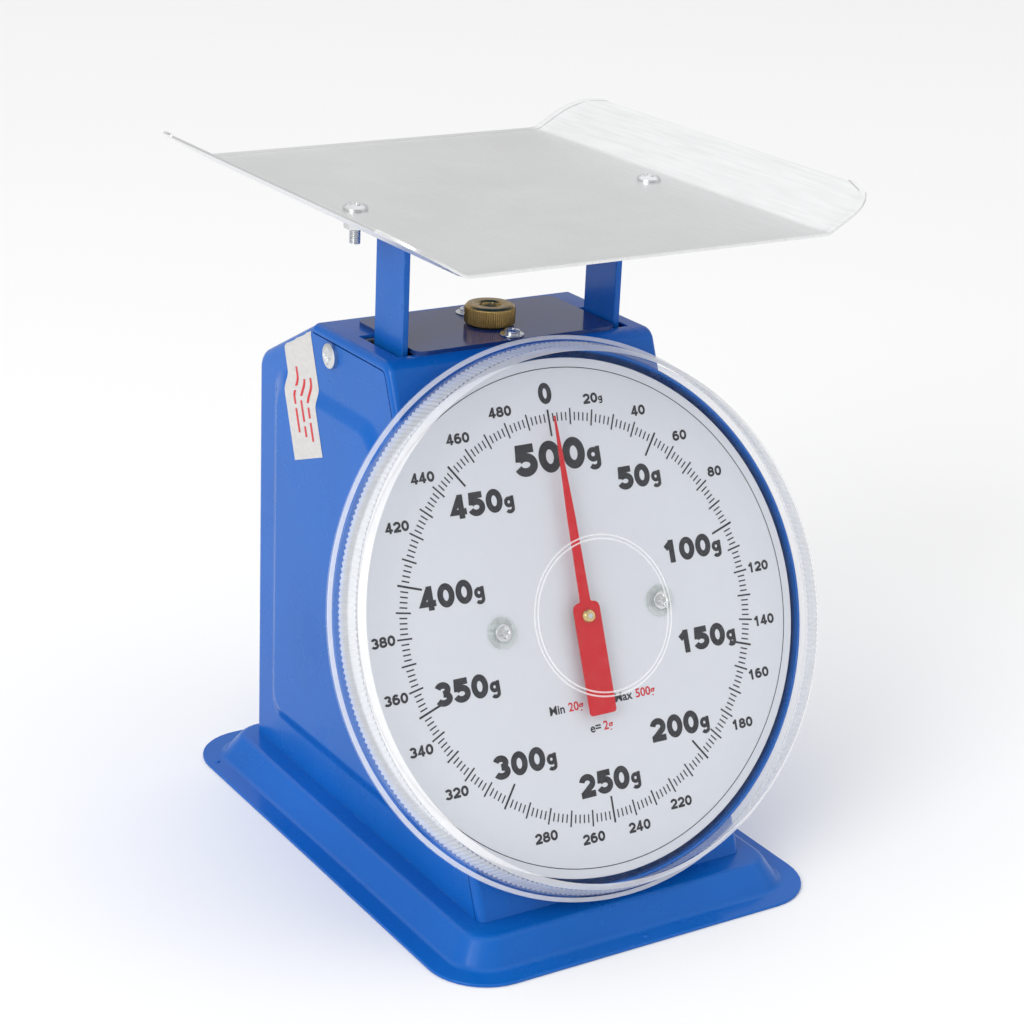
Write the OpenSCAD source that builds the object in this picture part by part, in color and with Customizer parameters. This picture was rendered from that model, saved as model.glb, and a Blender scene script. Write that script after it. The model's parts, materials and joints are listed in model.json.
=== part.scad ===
// Mechanical dial platform scale: leaning dial, two check links, two weighing springs, rack and pinion.
// X runs right as seen from the dial side, the dial faces -Y, Z is up, and Z = 0 is the table.

/* [Base] */
// How far the base reaches beyond the case on each side
base_side = 22; // [20:0.5:40]
// How far the base reaches ahead of the front sheet's foot
base_front = 24; // [20:1:50]
// How far the base reaches behind the case
base_rear = 20; // [20:1:50]
// Corner radius of the base flange
base_r = 22; // [12:1:30]
// Height of the raised plateau above the table
base_h = 10.5; // [8:0.5:16]
// Width of the flat flange around the step
flange_w = 8; // [6:0.5:12]
// How far the sloping step runs in as it rises
step_run = 6.5; // [4:0.5:10]
// Sheet thickness of the base
base_t = 1.2; // [1:0.1:2]

/* [Case] */
// Width of the case
case_w = 112; // [96:1:134]
// Height of the case above the plateau
case_h = 181; // [165:1:220]
// How far the front sheet's foot is ahead of the centre
front_foot = 85; // [80:1:90]
// How far the front sheet's top edge is ahead of the centre
front_top = 10; // [8:1:16]
// How far the flat top reaches behind the centre
top_rear = 45; // [44:1:50]
// How far the back is behind the centre
case_rear = 89; // [86:1:95]
// Drop of the roof between the flat top and the back
roof_drop = 23; // [14:1:30]
// Radius of the bend between the front and the top
bend_r = 6; // [4:0.5:8]
// Radius of the bends at the back
rear_bend_r = 7; // [3:0.5:10]
// Sheet thickness of the case
case_t = 1.2; // [1:0.1:1.5]
// Width of the front case that shows along its sides
lip_w = 3.2; // [2.5:0.1:5]
// Height of the raised panel on each side
emboss_h = 2.5; // [1.5:0.1:3.5]
// Distance from the side's edge to the raised panel
emboss_in = 14; // [12:1:18]

/* [Dial] */
// Outer diameter of the clear cover
lens_d = 200; // [180:1:216]
// Depth of the clear cover in front of the dial
lens_h = 15; // [12:0.5:20]
// Wall thickness of the clear cover
lens_t = 1.8; // [1.4:0.1:2.2]
// How far the clear cover's rim reaches beyond the dish behind the dial
cover_rim = 4.5; // [4.2:0.1:8]
// Distance from the case's front sheet to the dial face
dial_stand = 7.6; // [6.5:0.1:10]
// Thickness of the dial plate
dial_t = 0.8; // [0.6:0.1:1.2]
// Height of the dial's centre, measured along the front sheet
dial_up = 98; // [96:0.5:104]
// Distance from the centre to each dial screw
dial_screw_x = 33.4; // [28:0.1:38]
// Length of the pointer from its axis to its tip
pointer_len = 71.5; // [60:0.5:78]
// Length of the pointer's tail
tail_len = 35; // [25:0.5:45]

/* [Weighing movement] */
// Travel of the platform at the full load of one turn of the pointer
teeth = 10; // [10:1:12]
// Module of the rack and the pinion
gear_module = 0.5; // [0.4:0.05:0.6]
// Diameter of the pointer's arbor
arbor_d = 2; // [1.6:0.1:2.4]
// Distance between the fixed and the moving pivots of the check links
link_len = 56; // [50:1:60]
// Diameter of the links' fixed shafts
shaft_d = 5; // [4:0.5:6]
// Diameter of the links' moving pins
pin_d = 4; // [3:0.5:5]
// Height of the upper link's pin below the case top
upper_pin_drop = 33; // [30:1:40]
// Height of the lower link's pin above the plateau
lower_pin_rise = 76; // [72:1:84]
// Distance of each spring from the middle
spring_x = 22; // [18:0.5:24]
// Outer diameter of the weighing springs
spring_d = 13; // [10:0.5:14]
// Wire diameter of the weighing springs
wire_d = 1.4; // [1:0.1:1.8]

/* [Platform] */
// Distance from the case's side to each leg's middle
leg_inset = 11.5; // [10:0.5:13]
// Width of the legs
leg_w = 20; // [16:1:22]
// Thickness of the legs
leg_t = 2.5; // [2:0.1:3]
// How far the legs' middle is behind the centre
leg_y = 8; // [7:0.5:9]
// Height of the pan's underside above the case top
pan_rise = 50.7; // [44:0.5:70]
// How far the pan's flat middle reaches beyond each leg's middle
pan_flat_out = 27.3; // [25:0.1:45]
// Depth of the pan
pan_d = 187; // [160:1:220]
// Length of each upturned side, measured up its slope
wing_len = 25.5; // [15:0.5:35]
// Slope of the upturned sides
wing_angle = 30; // [15:1:45]
// Corner radius of the upturned sides
wing_r = 15; // [8:1:20]
// Sheet thickness of the pan
pan_t = 1; // [0.8:0.1:1.5]
// Distance from each leg's middle out to the pan screw
pan_screw_out = 16.5; // [14.5:0.5:18]
// How far the support plate reaches beyond each leg's middle
support_out = 23.5; // [23:0.5:27]
// Depth of the support plate
support_d = 104; // [60:1:120]
// Thickness of the support plate
support_t = 2; // [1.5:0.1:3]

/* [Zero adjuster] */
// Diameter of the knurled knob
knob_d = 18.6; // [16:0.2:22]
// Height of the knurled knob
knob_h = 7.5; // [6:0.5:9]
// How far the knob's axis is behind the centre
knob_y = 14.5; // [14:0.5:16]
// Number of grooves in the knurl
knurl_count = 48; // [36:2:60]
// Diameter of the hanger's threaded stud
stud_d = 6; // [5:0.5:6]
// Gap between the plate under the knob and each leg
plate_gap = 1.25; // [0.5:0.25:4]
// Depth of the plate under the knob
top_plate_d = 45; // [43:1:47]
// Thickness of the plate under the knob
top_plate_t = 1.5; // [1:0.1:2]

/* [Hidden] */
$fn = 48;
cut = 1;              // how far a cutting tool reaches past a face
thin = 0.01;          // thickness of a slice that a hull is stretched between
slip = 0.05;          // radial clearance of a screw, pin or shaft in its hole
gap = 0.2;            // clearance between sheets that lie side by side

sheet_gap = 0.02;     // clearance between a sheet and a part that lies flat on it

top_z = base_h + case_h;
lean = atan((front_foot - front_top) / case_h);
case_x = case_w / 2;
base_w = case_w + 2 * base_side;
base_d = base_front + front_foot + case_rear + base_rear;
base_y = (case_rear + base_rear - front_foot - base_front) / 2;
dish_d = lens_d - 2 * cover_rim;

// The dial's own frame: +X right, +Y up the dial, +Z out of it, with Z = 0 at the dial's face.
dial_y = -front_foot + dial_up * sin(lean) - dial_stand * cos(lean);
dial_z = base_h + dial_up * cos(lean) + dial_stand * sin(lean);
sheet_n = -dial_stand;                    // outer face of the front sheet in the dial's frame
plate_t = 2;                              // thickness of the movement's two plates
front_plate_n = sheet_n - case_t - plate_t - sheet_gap;
movement_depth = 24;                      // clear space between the two plates
rear_plate_n = front_plate_n - movement_depth - plate_t;
pitch_r = gear_module * teeth / 2;
travel = 2 * PI * pitch_r / cos(lean);    // the platform's stroke for one turn of the pointer
slide_n = travel * sin(lean);             // how far the rack slides along the pinion's teeth
rack_t = 2.5;
rack_n = front_plate_n - 8;               // front face of the rack
rack_high = travel * cos(lean) + 4.5;     // the rack's upper end, above the arbor
movement_w = 28;
pillar_x = 9.5;
pillar_r = 2.5;
pillar_y = rack_high + pillar_r + 0.8;
movement_h = 2 * (pillar_y + 4.5);
m3_r = 1.5;
m4_r = 2;

// Check links: level at half the stroke, so that they lean as much up as down.
swing = asin(travel / 2 / link_len);
shaft_y = leg_y + link_len * (1 + cos(swing)) / 2;
upper_pin_z = top_z - upper_pin_drop;
lower_pin_z = base_h + lower_pin_rise;
leg_x = case_x - leg_inset;
top_plate_w = 2 * (leg_x - leg_t / 2 - plate_gap);
pan_flat_w = 2 * (leg_x + pan_flat_out);
pan_screw_x = leg_x + pan_screw_out;
support_w = 2 * (leg_x + support_out);
link_t = 1.5;
link_h = 12;
link_x = leg_x - leg_t / 2 - 1.25 - link_t;   // inner face of a link's arm
pin_slack = 0.5;                              // the open pivot's radial clearance

// Frame that carries the fixed shafts.
chassis_t = 2;
chassis_x = case_x - 4.5;                     // outer face of its side plates
bridge_z = top_z - case_t - chassis_t;

// Spring carriers, both plates that stand upright under the knob's axis.
hook_r = 4;
hook_hole_r = 2.6;
hook_edge = 5;                                // hook hole to the carrier's edge
carrier_t = 2.5;
crossbar_top = lower_pin_z - 12.5;
crossbar_h = 18;
hanger_top = top_z - 10;
hanger_h = 16;
hanger_hole_z = hanger_top - hanger_h + hook_edge;
crossbar_hole_z = crossbar_top - hook_edge;

pan_z = top_z + pan_rise;
support_z = pan_z - support_t;
leg_foot_z = crossbar_top - crossbar_h - 2;
tab_len = 14;
knob_z = top_z + top_plate_t;

blue = "royalblue";
dark_blue = "midnightblue";
steel = "silver";

module each_side() {
    children();
    mirror([1, 0, 0]) children();
}

module on_dial() {
    translate([0, dial_y, dial_z]) rotate([90 - lean, 0, 0]) children();
}

// Extrudes an outline drawn in Y and Z along X, from x0 to x1.
module along_x(x0, x1) {
    translate([x0, 0, 0]) rotate([90, 0, 90]) linear_extrude(x1 - x0) children();
}

module x_rod(x0, x1, r) {
    translate([x0, 0, 0]) rotate([0, 90, 0]) cylinder(h = x1 - x0, r = r);
}

module y_rod(y0, y1, r) {
    translate([0, y1, 0]) rotate([90, 0, 0]) cylinder(h = y1 - y0, r = r);
}

module rounded_rect(w, d, r) {
    offset(r = r) square([w - 2 * r, d - 2 * r], center = true);
}

// Pan head with a cross slot, its shank pointing down from Z = 0.
module cross_screw(shank_r, head_r, head_h, len) {
    difference() {
        union() {
            cylinder(h = head_h * 0.55, r = head_r);
            translate([0, 0, head_h * 0.55])
                cylinder(h = head_h * 0.45, r1 = head_r, r2 = head_r * 0.62);
        }
        for (turn = [0, 90])
            rotate([0, 0, turn]) translate([-head_r * 0.55, -head_r * 0.12, head_h * 0.5])
                cube([head_r * 1.1, head_r * 0.24, head_h]);
    }
    translate([0, 0, -len]) cylinder(h = len, r = shank_r);
}

module washer(inner_r, outer_r, h) {
    difference() {
        cylinder(h = h, r = outer_r);
        translate([0, 0, -cut]) cylinder(h = h + 2 * cut, r = inner_r);
    }
}

module hex_nut(inner_r, across_r, h) {
    difference() {
        cylinder(h = h, r = across_r, $fn = 6);
        translate([0, 0, -cut]) cylinder(h = h + 2 * cut, r = inner_r);
    }
}

// ---- Base ----

base_screw_x = case_x - 14;
base_screw_y = [-4, 70];

// The raised middle of the base, its outside moved in by a sheet thickness.
module base_hump(inset) {
    hump_w = base_w - 2 * flange_w - 2 * inset;
    hump_d = base_d - 2 * flange_w - 2 * inset;
    hump_r = base_r - flange_w - inset;
    hull() {
        linear_extrude(thin) rounded_rect(hump_w, hump_d, hump_r, $fn = 32);
        translate([0, 0, base_h - inset - thin]) linear_extrude(thin)
            rounded_rect(hump_w - 2 * step_run, hump_d - 2 * step_run, hump_r - step_run / 2, $fn = 32);
    }
}

// Two small pressed marks on the flange.
module base_pips() {
    pip_in = flange_w / 2;
    pip_h = 0.5;
    pip_r = 1.2;
    for (spot = [[0, -base_d / 2 + pip_in], [-base_w / 2 + pip_in, base_d / 2 - base_r]])
        translate([spot[0], spot[1], base_t]) cylinder(h = pip_h, r = pip_r);
}

module base_plate() {
    color(blue) difference() {
        translate([0, base_y, 0]) {
            linear_extrude(base_t) rounded_rect(base_w, base_d, base_r);
            base_hump(0);
            base_pips();
        }
        translate([0, base_y, -sheet_gap]) base_hump(base_t);
        for (x = [-base_screw_x, base_screw_x], y = base_screw_y)
            translate([x, y, 0]) cylinder(h = base_h + cut, r = m4_r + slip);
    }
}

module base_screws() {
    color(steel) for (x = [-base_screw_x, base_screw_x], y = base_screw_y)
        translate([x, y, base_h - base_t - sheet_gap]) mirror([0, 0, 1])
            cross_screw(m4_r, 3.8, 2.6, base_t + chassis_t + 5);
}

module base_nuts() {
    color(steel) for (x = [-base_screw_x, base_screw_x], y = base_screw_y)
        translate([x, y, base_h + chassis_t]) hex_nut(m4_r + slip, 4, 3.2);
}

// ---- Chassis ----

chassis_front = 22;
chassis_rear = case_rear - 9;
bridge_tongue_x = leg_x - leg_t / 2 - 7;
bridge_tongue_y = -4;
bridge_rear = top_rear - 2;
plate_screw_reach = 15.5;                     // top plate screws, before and behind the knob

module chassis_side() {
    polygon([
        [chassis_front, base_h], [chassis_rear, base_h], [chassis_rear, top_z - roof_drop - 20],
        [bridge_rear + 10, top_z - 14], [bridge_rear, bridge_z + chassis_t],
        [chassis_front, bridge_z + chassis_t]
    ]);
}

module chassis() {
    color(steel) difference() {
        union() {
            each_side() along_x(chassis_x - chassis_t, chassis_x) chassis_side();
            translate([-chassis_x, -20, base_h]) cube([2 * chassis_x, chassis_rear + 20, chassis_t]);
            translate([-chassis_x, chassis_front, bridge_z])
                cube([2 * chassis_x, bridge_rear - chassis_front, chassis_t]);
            translate([-bridge_tongue_x, bridge_tongue_y, bridge_z])
                cube([2 * bridge_tongue_x, chassis_front - bridge_tongue_y + cut, chassis_t]);
        }
        for (x = [-base_screw_x, base_screw_x], y = base_screw_y)
            translate([x, y, base_h - cut]) cylinder(h = chassis_t + 2 * cut, r = m4_r + slip);
        for (z = [upper_pin_z, lower_pin_z])
            translate([0, shaft_y, z - travel / 2])
                x_rod(-chassis_x - cut, chassis_x + cut, shaft_d / 2 + slip);
        top_holes(bridge_z, chassis_t);
    }
}

// Holes for the hanger's stud and the top plate's screws, through a sheet at height z.
module top_holes(z, t) {
    translate([0, knob_y, z - cut]) cylinder(h = t + 2 * cut, r = stud_d / 2 + 0.5);
    for (y = [knob_y - plate_screw_reach, knob_y + plate_screw_reach])
        translate([0, y, z - cut]) cylinder(h = t + 2 * cut, r = m3_r + slip);
}

// ---- Case ----

slot_w = leg_t + 5.5;
slot_front = leg_y - leg_w / 2 - 6;
slot_rear = leg_y + leg_w / 2 + 6;
flange_h = 14;                                // inner flange that takes the cover's screws
cover_screw_y = 30;
cover_screw_drop = 8;
far = 400;

// Everything behind the front sheet and below the top, set in by d.
module front_region(d) {
    offset(r = bend_r - d) offset(delta = -bend_r) polygon([
        [-front_top, top_z], [far, top_z], [far, -far],
        [-front_top - (top_z + far) * tan(lean), -far]
    ]);
}

// The case's side outline, set in by d.
module case_region(d) {
    intersection() {
        front_region(d);
        offset(r = rear_bend_r - d) offset(delta = -rear_bend_r) polygon([
            [-far, top_z + far], [-far, -far], [case_rear, -far],
            [case_rear, top_z - roof_drop], [top_rear, top_z], [top_rear, top_z + far]
        ]);
        translate([-far, base_h]) square([2 * far, far]);
    }
}

module front_band(d0, d1, rear = top_rear) {
    intersection() {
        difference() {
            front_region(d0);
            front_region(d1);
        }
        translate([-far, base_h]) square([far + rear, far]);
    }
}

module front_case() {
    flange_x = case_x - case_t - gap;
    color(blue) difference() {
        union() {
            along_x(-case_x, case_x) front_band(0, case_t);
            each_side() along_x(case_x - case_t, case_x) front_band(case_t, lip_w);
            each_side() along_x(flange_x - case_t, case_x - case_t) front_band(case_t, lip_w);
            each_side() along_x(flange_x - case_t, flange_x) front_band(lip_w, flange_h);
        }
        each_side() translate([leg_x - slot_w / 2, slot_front, top_z - flange_h / 2])
            cube([slot_w, slot_rear - slot_front, flange_h]);
        top_holes(top_z - case_t, case_t);
        on_dial() front_holes(sheet_n - case_t, case_t);
        translate([0, cover_screw_y, top_z - cover_screw_drop]) x_rod(-case_x, case_x, m4_r + slip);
    }
}

// Holes for the arbor's bush, the movement's screws and the dial's posts.
module front_holes(n, t) {
    translate([0, 0, n - cut]) {
        cylinder(h = t + 2 * cut, r = bush_r + slip);
        for (x = [-movement_screw_x, movement_screw_x], y = [-movement_screw_y, movement_screw_y])
            translate([x, y, 0]) cylinder(h = t + 2 * cut, r = m3_r + slip);
        for (x = [-dial_screw_x, dial_screw_x])
            translate([x, 0, 0]) cylinder(h = t + 2 * cut, r = post_shank_r + slip);
    }
}

module cover_side() {
    difference() {
        case_region(0);
        front_band(-cut, lip_w + gap, top_rear + gap);
    }
}

// The raised panel's outline: the side's outline set in by d.
module emboss_outline(d) {
    offset(delta = -d) intersection() {
        front_region(0);
        translate([-far, base_h]) square([far + case_rear, top_z - roof_drop + 14 - base_h]);
    }
}

module emboss(d, x0, x1) {
    slope = 6;
    hull() {
        along_x(x0, x0 + 0.01) emboss_outline(emboss_in + d);
        along_x(x1 - 0.01, x1) emboss_outline(emboss_in + slope + d);
    }
}

module rear_cover() {
    color(blue) difference() {
        union() {
            each_side() along_x(case_x - case_t, case_x) cover_side();
            along_x(-case_x, case_x) difference() {
                case_region(0);
                case_region(case_t);
                translate([-far, -far]) square([far + top_rear + gap, 2 * far]);
            }
            each_side() emboss(0, case_x - 0.01, case_x + emboss_h);
        }
        each_side() emboss(case_t, case_x - case_t - 0.02, case_x + emboss_h - case_t);
        translate([0, cover_screw_y, top_z - cover_screw_drop])
            x_rod(-case_x - cut, case_x + cut, m4_r + slip);
    }
}

module cover_screws() {
    color(steel) each_side() translate([case_x, cover_screw_y, top_z - cover_screw_drop])
        rotate([0, 90, 0]) cross_screw(m4_r, 4.6, 2.4, 2 * case_t + 2);
}

// ---- Top plate and zero adjuster ----

module top_plate() {
    color(dark_blue) difference() {
        translate([0, knob_y + plate_centre_back, top_z])
            linear_extrude(top_plate_t) rounded_rect(top_plate_w, top_plate_d, 4);
        top_holes(top_z, top_plate_t);
    }
}

plate_centre_back = 1.7;                      // the plate's middle, behind the knob's axis

module at_top_plate_screws() {
    for (y = [knob_y - plate_screw_reach, knob_y + plate_screw_reach])
        translate([0, y, knob_z]) children();
}

module top_plate_washers() {
    color(steel) at_top_plate_screws() washer(m3_r + slip, 4.4, 0.6);
}

module top_plate_screws() {
    reach = top_plate_t + case_t + chassis_t + 2;
    color(steel) at_top_plate_screws() translate([0, 0, 0.6]) cross_screw(m3_r, 2.8, 1.8, reach);
}

module zero_knob() {
    groove_r = 0.35;
    rim_h = 0.8;
    color("darkgoldenrod") translate([0, knob_y, knob_z]) difference() {
        union() {
            cylinder(h = rim_h, r = knob_d / 2 - 0.6);
            translate([0, 0, rim_h]) cylinder(h = knob_h - 2 * rim_h, r = knob_d / 2);
            translate([0, 0, knob_h - rim_h])
                cylinder(h = rim_h, r1 = knob_d / 2, r2 = knob_d / 2 - rim_h);
        }
        translate([0, 0, -cut]) cylinder(h = knob_h + 2 * cut, r = stud_d / 2 + slip);
        translate([0, 0, knob_h - 3]) cylinder(h = 3 + cut, r = stud_d / 2 + 0.8);
        for (i = [0 : knurl_count - 1])
            rotate([0, 0, i * 360 / knurl_count]) translate([knob_d / 2, 0, rim_h + 0.3])
                cylinder(h = knob_h - 2 * rim_h - 0.6, r = groove_r, $fn = 6);
    }
}

module hanger_stud() {
    color(steel) translate([0, knob_y, hanger_top - carrier_t])
        cylinder(h = knob_z + knob_h - 3.5 - hanger_top + carrier_t, r = stud_d / 2);
}

module hanger_nut() {
    color(steel) translate([0, knob_y, hanger_top]) hex_nut(stud_d / 2 + slip, 5.6, 3.5);
}

module hook_holes(z) {
    for (x = [-spring_x, spring_x])
        translate([x, knob_y, z]) y_rod(-carrier_t, carrier_t, hook_hole_r);
}

module spring_hanger() {
    lug = 8;
    color(steel) difference() {
        union() {
            translate([-spring_x - 8, knob_y - carrier_t / 2, hanger_top - hanger_h])
                cube([2 * spring_x + 16, carrier_t, hanger_h]);
            translate([-lug, knob_y - lug, hanger_top - carrier_t]) cube([2 * lug, 2 * lug, carrier_t]);
        }
        translate([0, knob_y, hanger_top - carrier_t]) cylinder(h = carrier_t + cut, r = stud_d / 2);
        hook_holes(hanger_hole_z);
    }
}

// ---- Weighing springs ----

module hook(z) {
    translate([0, 0, z]) rotate([0, 90, 0])
        rotate_extrude() translate([hook_r, 0]) circle(r = wire_d / 2, $fn = 16);
}

// Closed stand-in for one coil spring: a tube of the coil's size between its two hooks.
module spring() {
    low = crossbar_hole_z + 2 * hook_r;
    high = hanger_hole_z - 2 * hook_r;
    translate([0, knob_y, 0]) {
        hook(crossbar_hole_z + hook_r);
        hook(hanger_hole_z - hook_r);
        difference() {
            translate([0, 0, low]) cylinder(h = high - low, r = spring_d / 2);
            translate([0, 0, low + wire_d])
                cylinder(h = high - low - 2 * wire_d, r = spring_d / 2 - wire_d);
        }
    }
}

module spring_left() {
    color(steel) translate([-spring_x, 0, 0]) spring();
}

module spring_right() {
    color(steel) translate([spring_x, 0, 0]) spring();
}

// ---- Legs and platform ----

crossbar_rivet_z = [crossbar_top - 5, crossbar_top - crossbar_h + 5];
rivet_r = 2;

// One leg on the +X side: an upright bar with a tab bent in under the support plate.
module leg() {
    inner = leg_x - leg_t / 2;
    color(blue) difference() {
        union() {
            translate([inner, leg_y - leg_w / 2, leg_foot_z]) cube([leg_t, leg_w, support_z - leg_foot_z]);
            translate([inner - tab_len, leg_y - leg_w / 2, support_z - leg_t])
                cube([tab_len + leg_t, leg_w, leg_t]);
        }
        at_leg_screws() cylinder(h = 2 * far, r = m4_r + slip, center = true);
        for (z = [upper_pin_z, lower_pin_z])
            translate([0, leg_y, z]) x_rod(inner - cut, inner + leg_t + cut, pin_d / 2 + slip);
        for (z = crossbar_rivet_z)
            translate([0, leg_y, z]) x_rod(inner - cut, inner + leg_t + cut, rivet_r + slip);
    }
}

module leg_left() {
    mirror([1, 0, 0]) leg();
}

module leg_right() {
    leg();
}

module at_leg_screws() {
    for (y = [leg_y - leg_w / 4, leg_y + leg_w / 4])
        translate([leg_x - leg_t / 2 - tab_len / 2, y, support_z - leg_t]) children();
}

module leg_screws() {
    color(steel) each_side() at_leg_screws() mirror([0, 0, 1])
        cross_screw(m4_r, 3.6, 2.2, leg_t + support_t - 0.3);
}

module crossbar() {
    end = leg_x - leg_t / 2;
    front = leg_y - leg_w / 2;
    back = knob_y + carrier_t / 2;
    color(steel) difference() {
        union() {
            translate([-end, back - carrier_t, crossbar_top - crossbar_h])
                cube([2 * end, carrier_t, crossbar_h]);
            each_side() translate([end - carrier_t, front, crossbar_top - crossbar_h])
                cube([carrier_t, back - front, crossbar_h]);
        }
        hook_holes(crossbar_hole_z);
        for (z = crossbar_rivet_z)
            translate([0, leg_y, z]) x_rod(-end - cut, end + cut, rivet_r + slip);
        at_arm_screws() y_rod(-cut, carrier_t + cut, m3_r + slip);
    }
}

module crossbar_rivets() {
    head_r = 3.4;
    head_h = 1.2;
    outer = leg_x + leg_t / 2;
    inner = leg_x - leg_t / 2 - carrier_t;
    color(steel) each_side() for (z = crossbar_rivet_z)
        translate([0, leg_y, z]) {
            x_rod(inner - head_h, inner, head_r);
            x_rod(inner - cut, outer + cut, rivet_r);
            x_rod(outer, outer + head_h, head_r);
        }
}

module support_plate() {
    color(blue) difference() {
        translate([0, leg_y, support_z]) linear_extrude(support_t) rounded_rect(support_w, support_d, 10);
        each_side() at_leg_screws() cylinder(h = 2 * far, r = m4_r + slip, center = true);
        at_pan_screws() cylinder(h = 2 * far, r = m4_r + slip, center = true);
    }
}

module at_pan_screws() {
    for (x = [-pan_screw_x, pan_screw_x])
        translate([x, leg_y - 2, 0]) children();
}

// One upturned side, hinged up about the edge of the flat middle.
module wing() {
    translate([pan_flat_w / 2, 0, pan_z]) rotate([0, -wing_angle, 0]) linear_extrude(pan_t)
        intersection() {
            translate([-1, leg_y - pan_d / 2]) square([wing_len + 1, pan_d]);
            translate([wing_len / 2 - far / 2, leg_y]) rounded_rect(wing_len + far, pan_d, wing_r);
        }
}

module pan() {
    color("gainsboro") difference() {
        union() {
            translate([-pan_flat_w / 2, leg_y - pan_d / 2, pan_z]) cube([pan_flat_w, pan_d, pan_t]);
            each_side() wing();
        }
        at_pan_screws() cylinder(h = 2 * far, r = m4_r + slip, center = true);
    }
}

nut_h = 3.2;
pan_washer_t = 0.8;

module pan_screws() {
    reach = pan_t + support_t + pan_washer_t + nut_h + 5.5;
    color(steel) at_pan_screws() translate([0, 0, pan_z + pan_t]) cross_screw(m4_r, 4.4, 1.8, reach);
}

module pan_washers() {
    color(steel) at_pan_screws() translate([0, 0, support_z - pan_washer_t])
        washer(m4_r + slip, 4.8, pan_washer_t);
}

module pan_nuts() {
    color(steel) at_pan_screws() translate([0, 0, support_z - pan_washer_t - nut_h])
        hex_nut(m4_r + slip, 4, nut_h);
}

// ---- Check links ----

// A link drawn level, its fixed pivot at the origin and its arms reaching forward to the leg pins.
module link() {
    web_y = link_h / 2 + 1;
    difference() {
        union() {
            each_side() along_x(link_x, link_x + link_t) arm_outline(web_y);
            translate([-link_x - link_t, web_y, -link_h / 2])
                cube([2 * (link_x + link_t), link_t, link_h]);
        }
        x_rod(-link_x - link_t - cut, link_x + link_t + cut, shaft_d / 2 + slip);
        translate([0, -link_len, 0])
            x_rod(-link_x - link_t - cut, link_x + link_t + cut, pin_d / 2 + pin_slack);
    }
}

// Side outline of an arm: a bar with a round front end.
module arm_outline(rear) {
    translate([-link_len, -link_h / 2]) square([link_len + rear, link_h]);
    translate([-link_len, 0]) circle(r = link_h / 2);
}

module link_at(pin_z) {
    translate([0, shaft_y, pin_z - travel / 2]) rotate([-swing, 0, 0]) link();
}

module upper_link() {
    color("darkgray") link_at(upper_pin_z);
}

module lower_link() {
    color("darkgray") link_at(lower_pin_z);
}

clip_t = 0.8;
clip_gap = 0.1;
shaft_end = chassis_x + clip_gap + clip_t + 0.5;

module shaft_at(pin_z) {
    translate([0, shaft_y, pin_z - travel / 2]) x_rod(-shaft_end, shaft_end, shaft_d / 2);
}

module upper_shaft() {
    color(steel) shaft_at(upper_pin_z);
}

module lower_shaft() {
    color(steel) shaft_at(lower_pin_z);
}

module shaft_clips() {
    color(steel) each_side() for (z = [upper_pin_z, lower_pin_z])
        translate([chassis_x + clip_gap, shaft_y, z - travel / 2]) rotate([0, 90, 0])
            washer(shaft_d / 2 + slip, shaft_d / 2 + 2, clip_t);
}

// Pins riveted into the legs, with a shoulder and a head that keep the arm in place.
module pins_at(pin_z) {
    outer = leg_x + leg_t / 2;
    inner = leg_x - leg_t / 2;
    color(steel) each_side() translate([0, leg_y, pin_z]) {
        x_rod(link_x - 1.2, outer + 1, pin_d / 2);
        x_rod(link_x - 1.2, link_x - gap, pin_d / 2 + 1.4);
        x_rod(link_x + link_t + gap, inner, pin_d / 2 + 1.4);
        x_rod(outer, outer + 1, pin_d / 2 + 1.4);
    }
}

module upper_pins() {
    pins_at(upper_pin_z);
}

module lower_pins() {
    pins_at(lower_pin_z);
}

// ---- Rack and its arm ----

hook_room = 2;                                // the arm stays this far from a spring hook's middle
arm_x = spring_x + hook_room;
arm_t = 2;
arm_foot_w = 14;
tab_low = 6;
tab_high = 16;
rack_low = -5;
backlash = 0.1;

module at_arm_screws() {
    for (z = [crossbar_top - 4.5, crossbar_top - crossbar_h + 4.5])
        translate([arm_x - arm_t - arm_foot_w / 2 + 2, knob_y - carrier_t / 2, z]) children();
}

module rack_arm() {
    crossbar_front = knob_y - carrier_t / 2;
    low = crossbar_top - crossbar_h;
    ear = [dial_y - rack_n * cos(lean), dial_z + rack_n * sin(lean)];
    up = [sin(lean), cos(lean)];
    back = [cos(lean), -sin(lean)];
    color(steel) difference() {
        union() {
            along_x(arm_x, arm_x + arm_t) polygon([
                [crossbar_front, low], [crossbar_front, crossbar_top],
                [crossbar_front - 6, crossbar_top],
                ear + tab_high * up + 14 * back, ear + tab_high * up,
                ear + tab_low * up, ear + tab_low * up + 12 * back, [crossbar_front - 8, low]
            ]);
            translate([arm_x - arm_foot_w, crossbar_front - arm_t, low])
                cube([arm_foot_w + cut, arm_t, crossbar_h]);
        }
        translate([spring_x - hook_room, crossbar_front - arm_t - cut, crossbar_hole_z - hook_hole_r])
            cube([2 * hook_room, arm_t + cut, crossbar_h]);
        at_arm_screws() y_rod(-2 * arm_t, cut, m3_r + slip);
        at_rack_screws() rotate([0, 90, 0])
            cylinder(h = 3 * arm_t, r = m3_r + slip, center = true);
    }
}

module at_rack_screws() {
    on_dial() for (n = [4, 9])
        translate([arm_x, (tab_low + tab_high) / 2, rack_n - rack_t - n + 1.5]) children();
}

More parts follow.
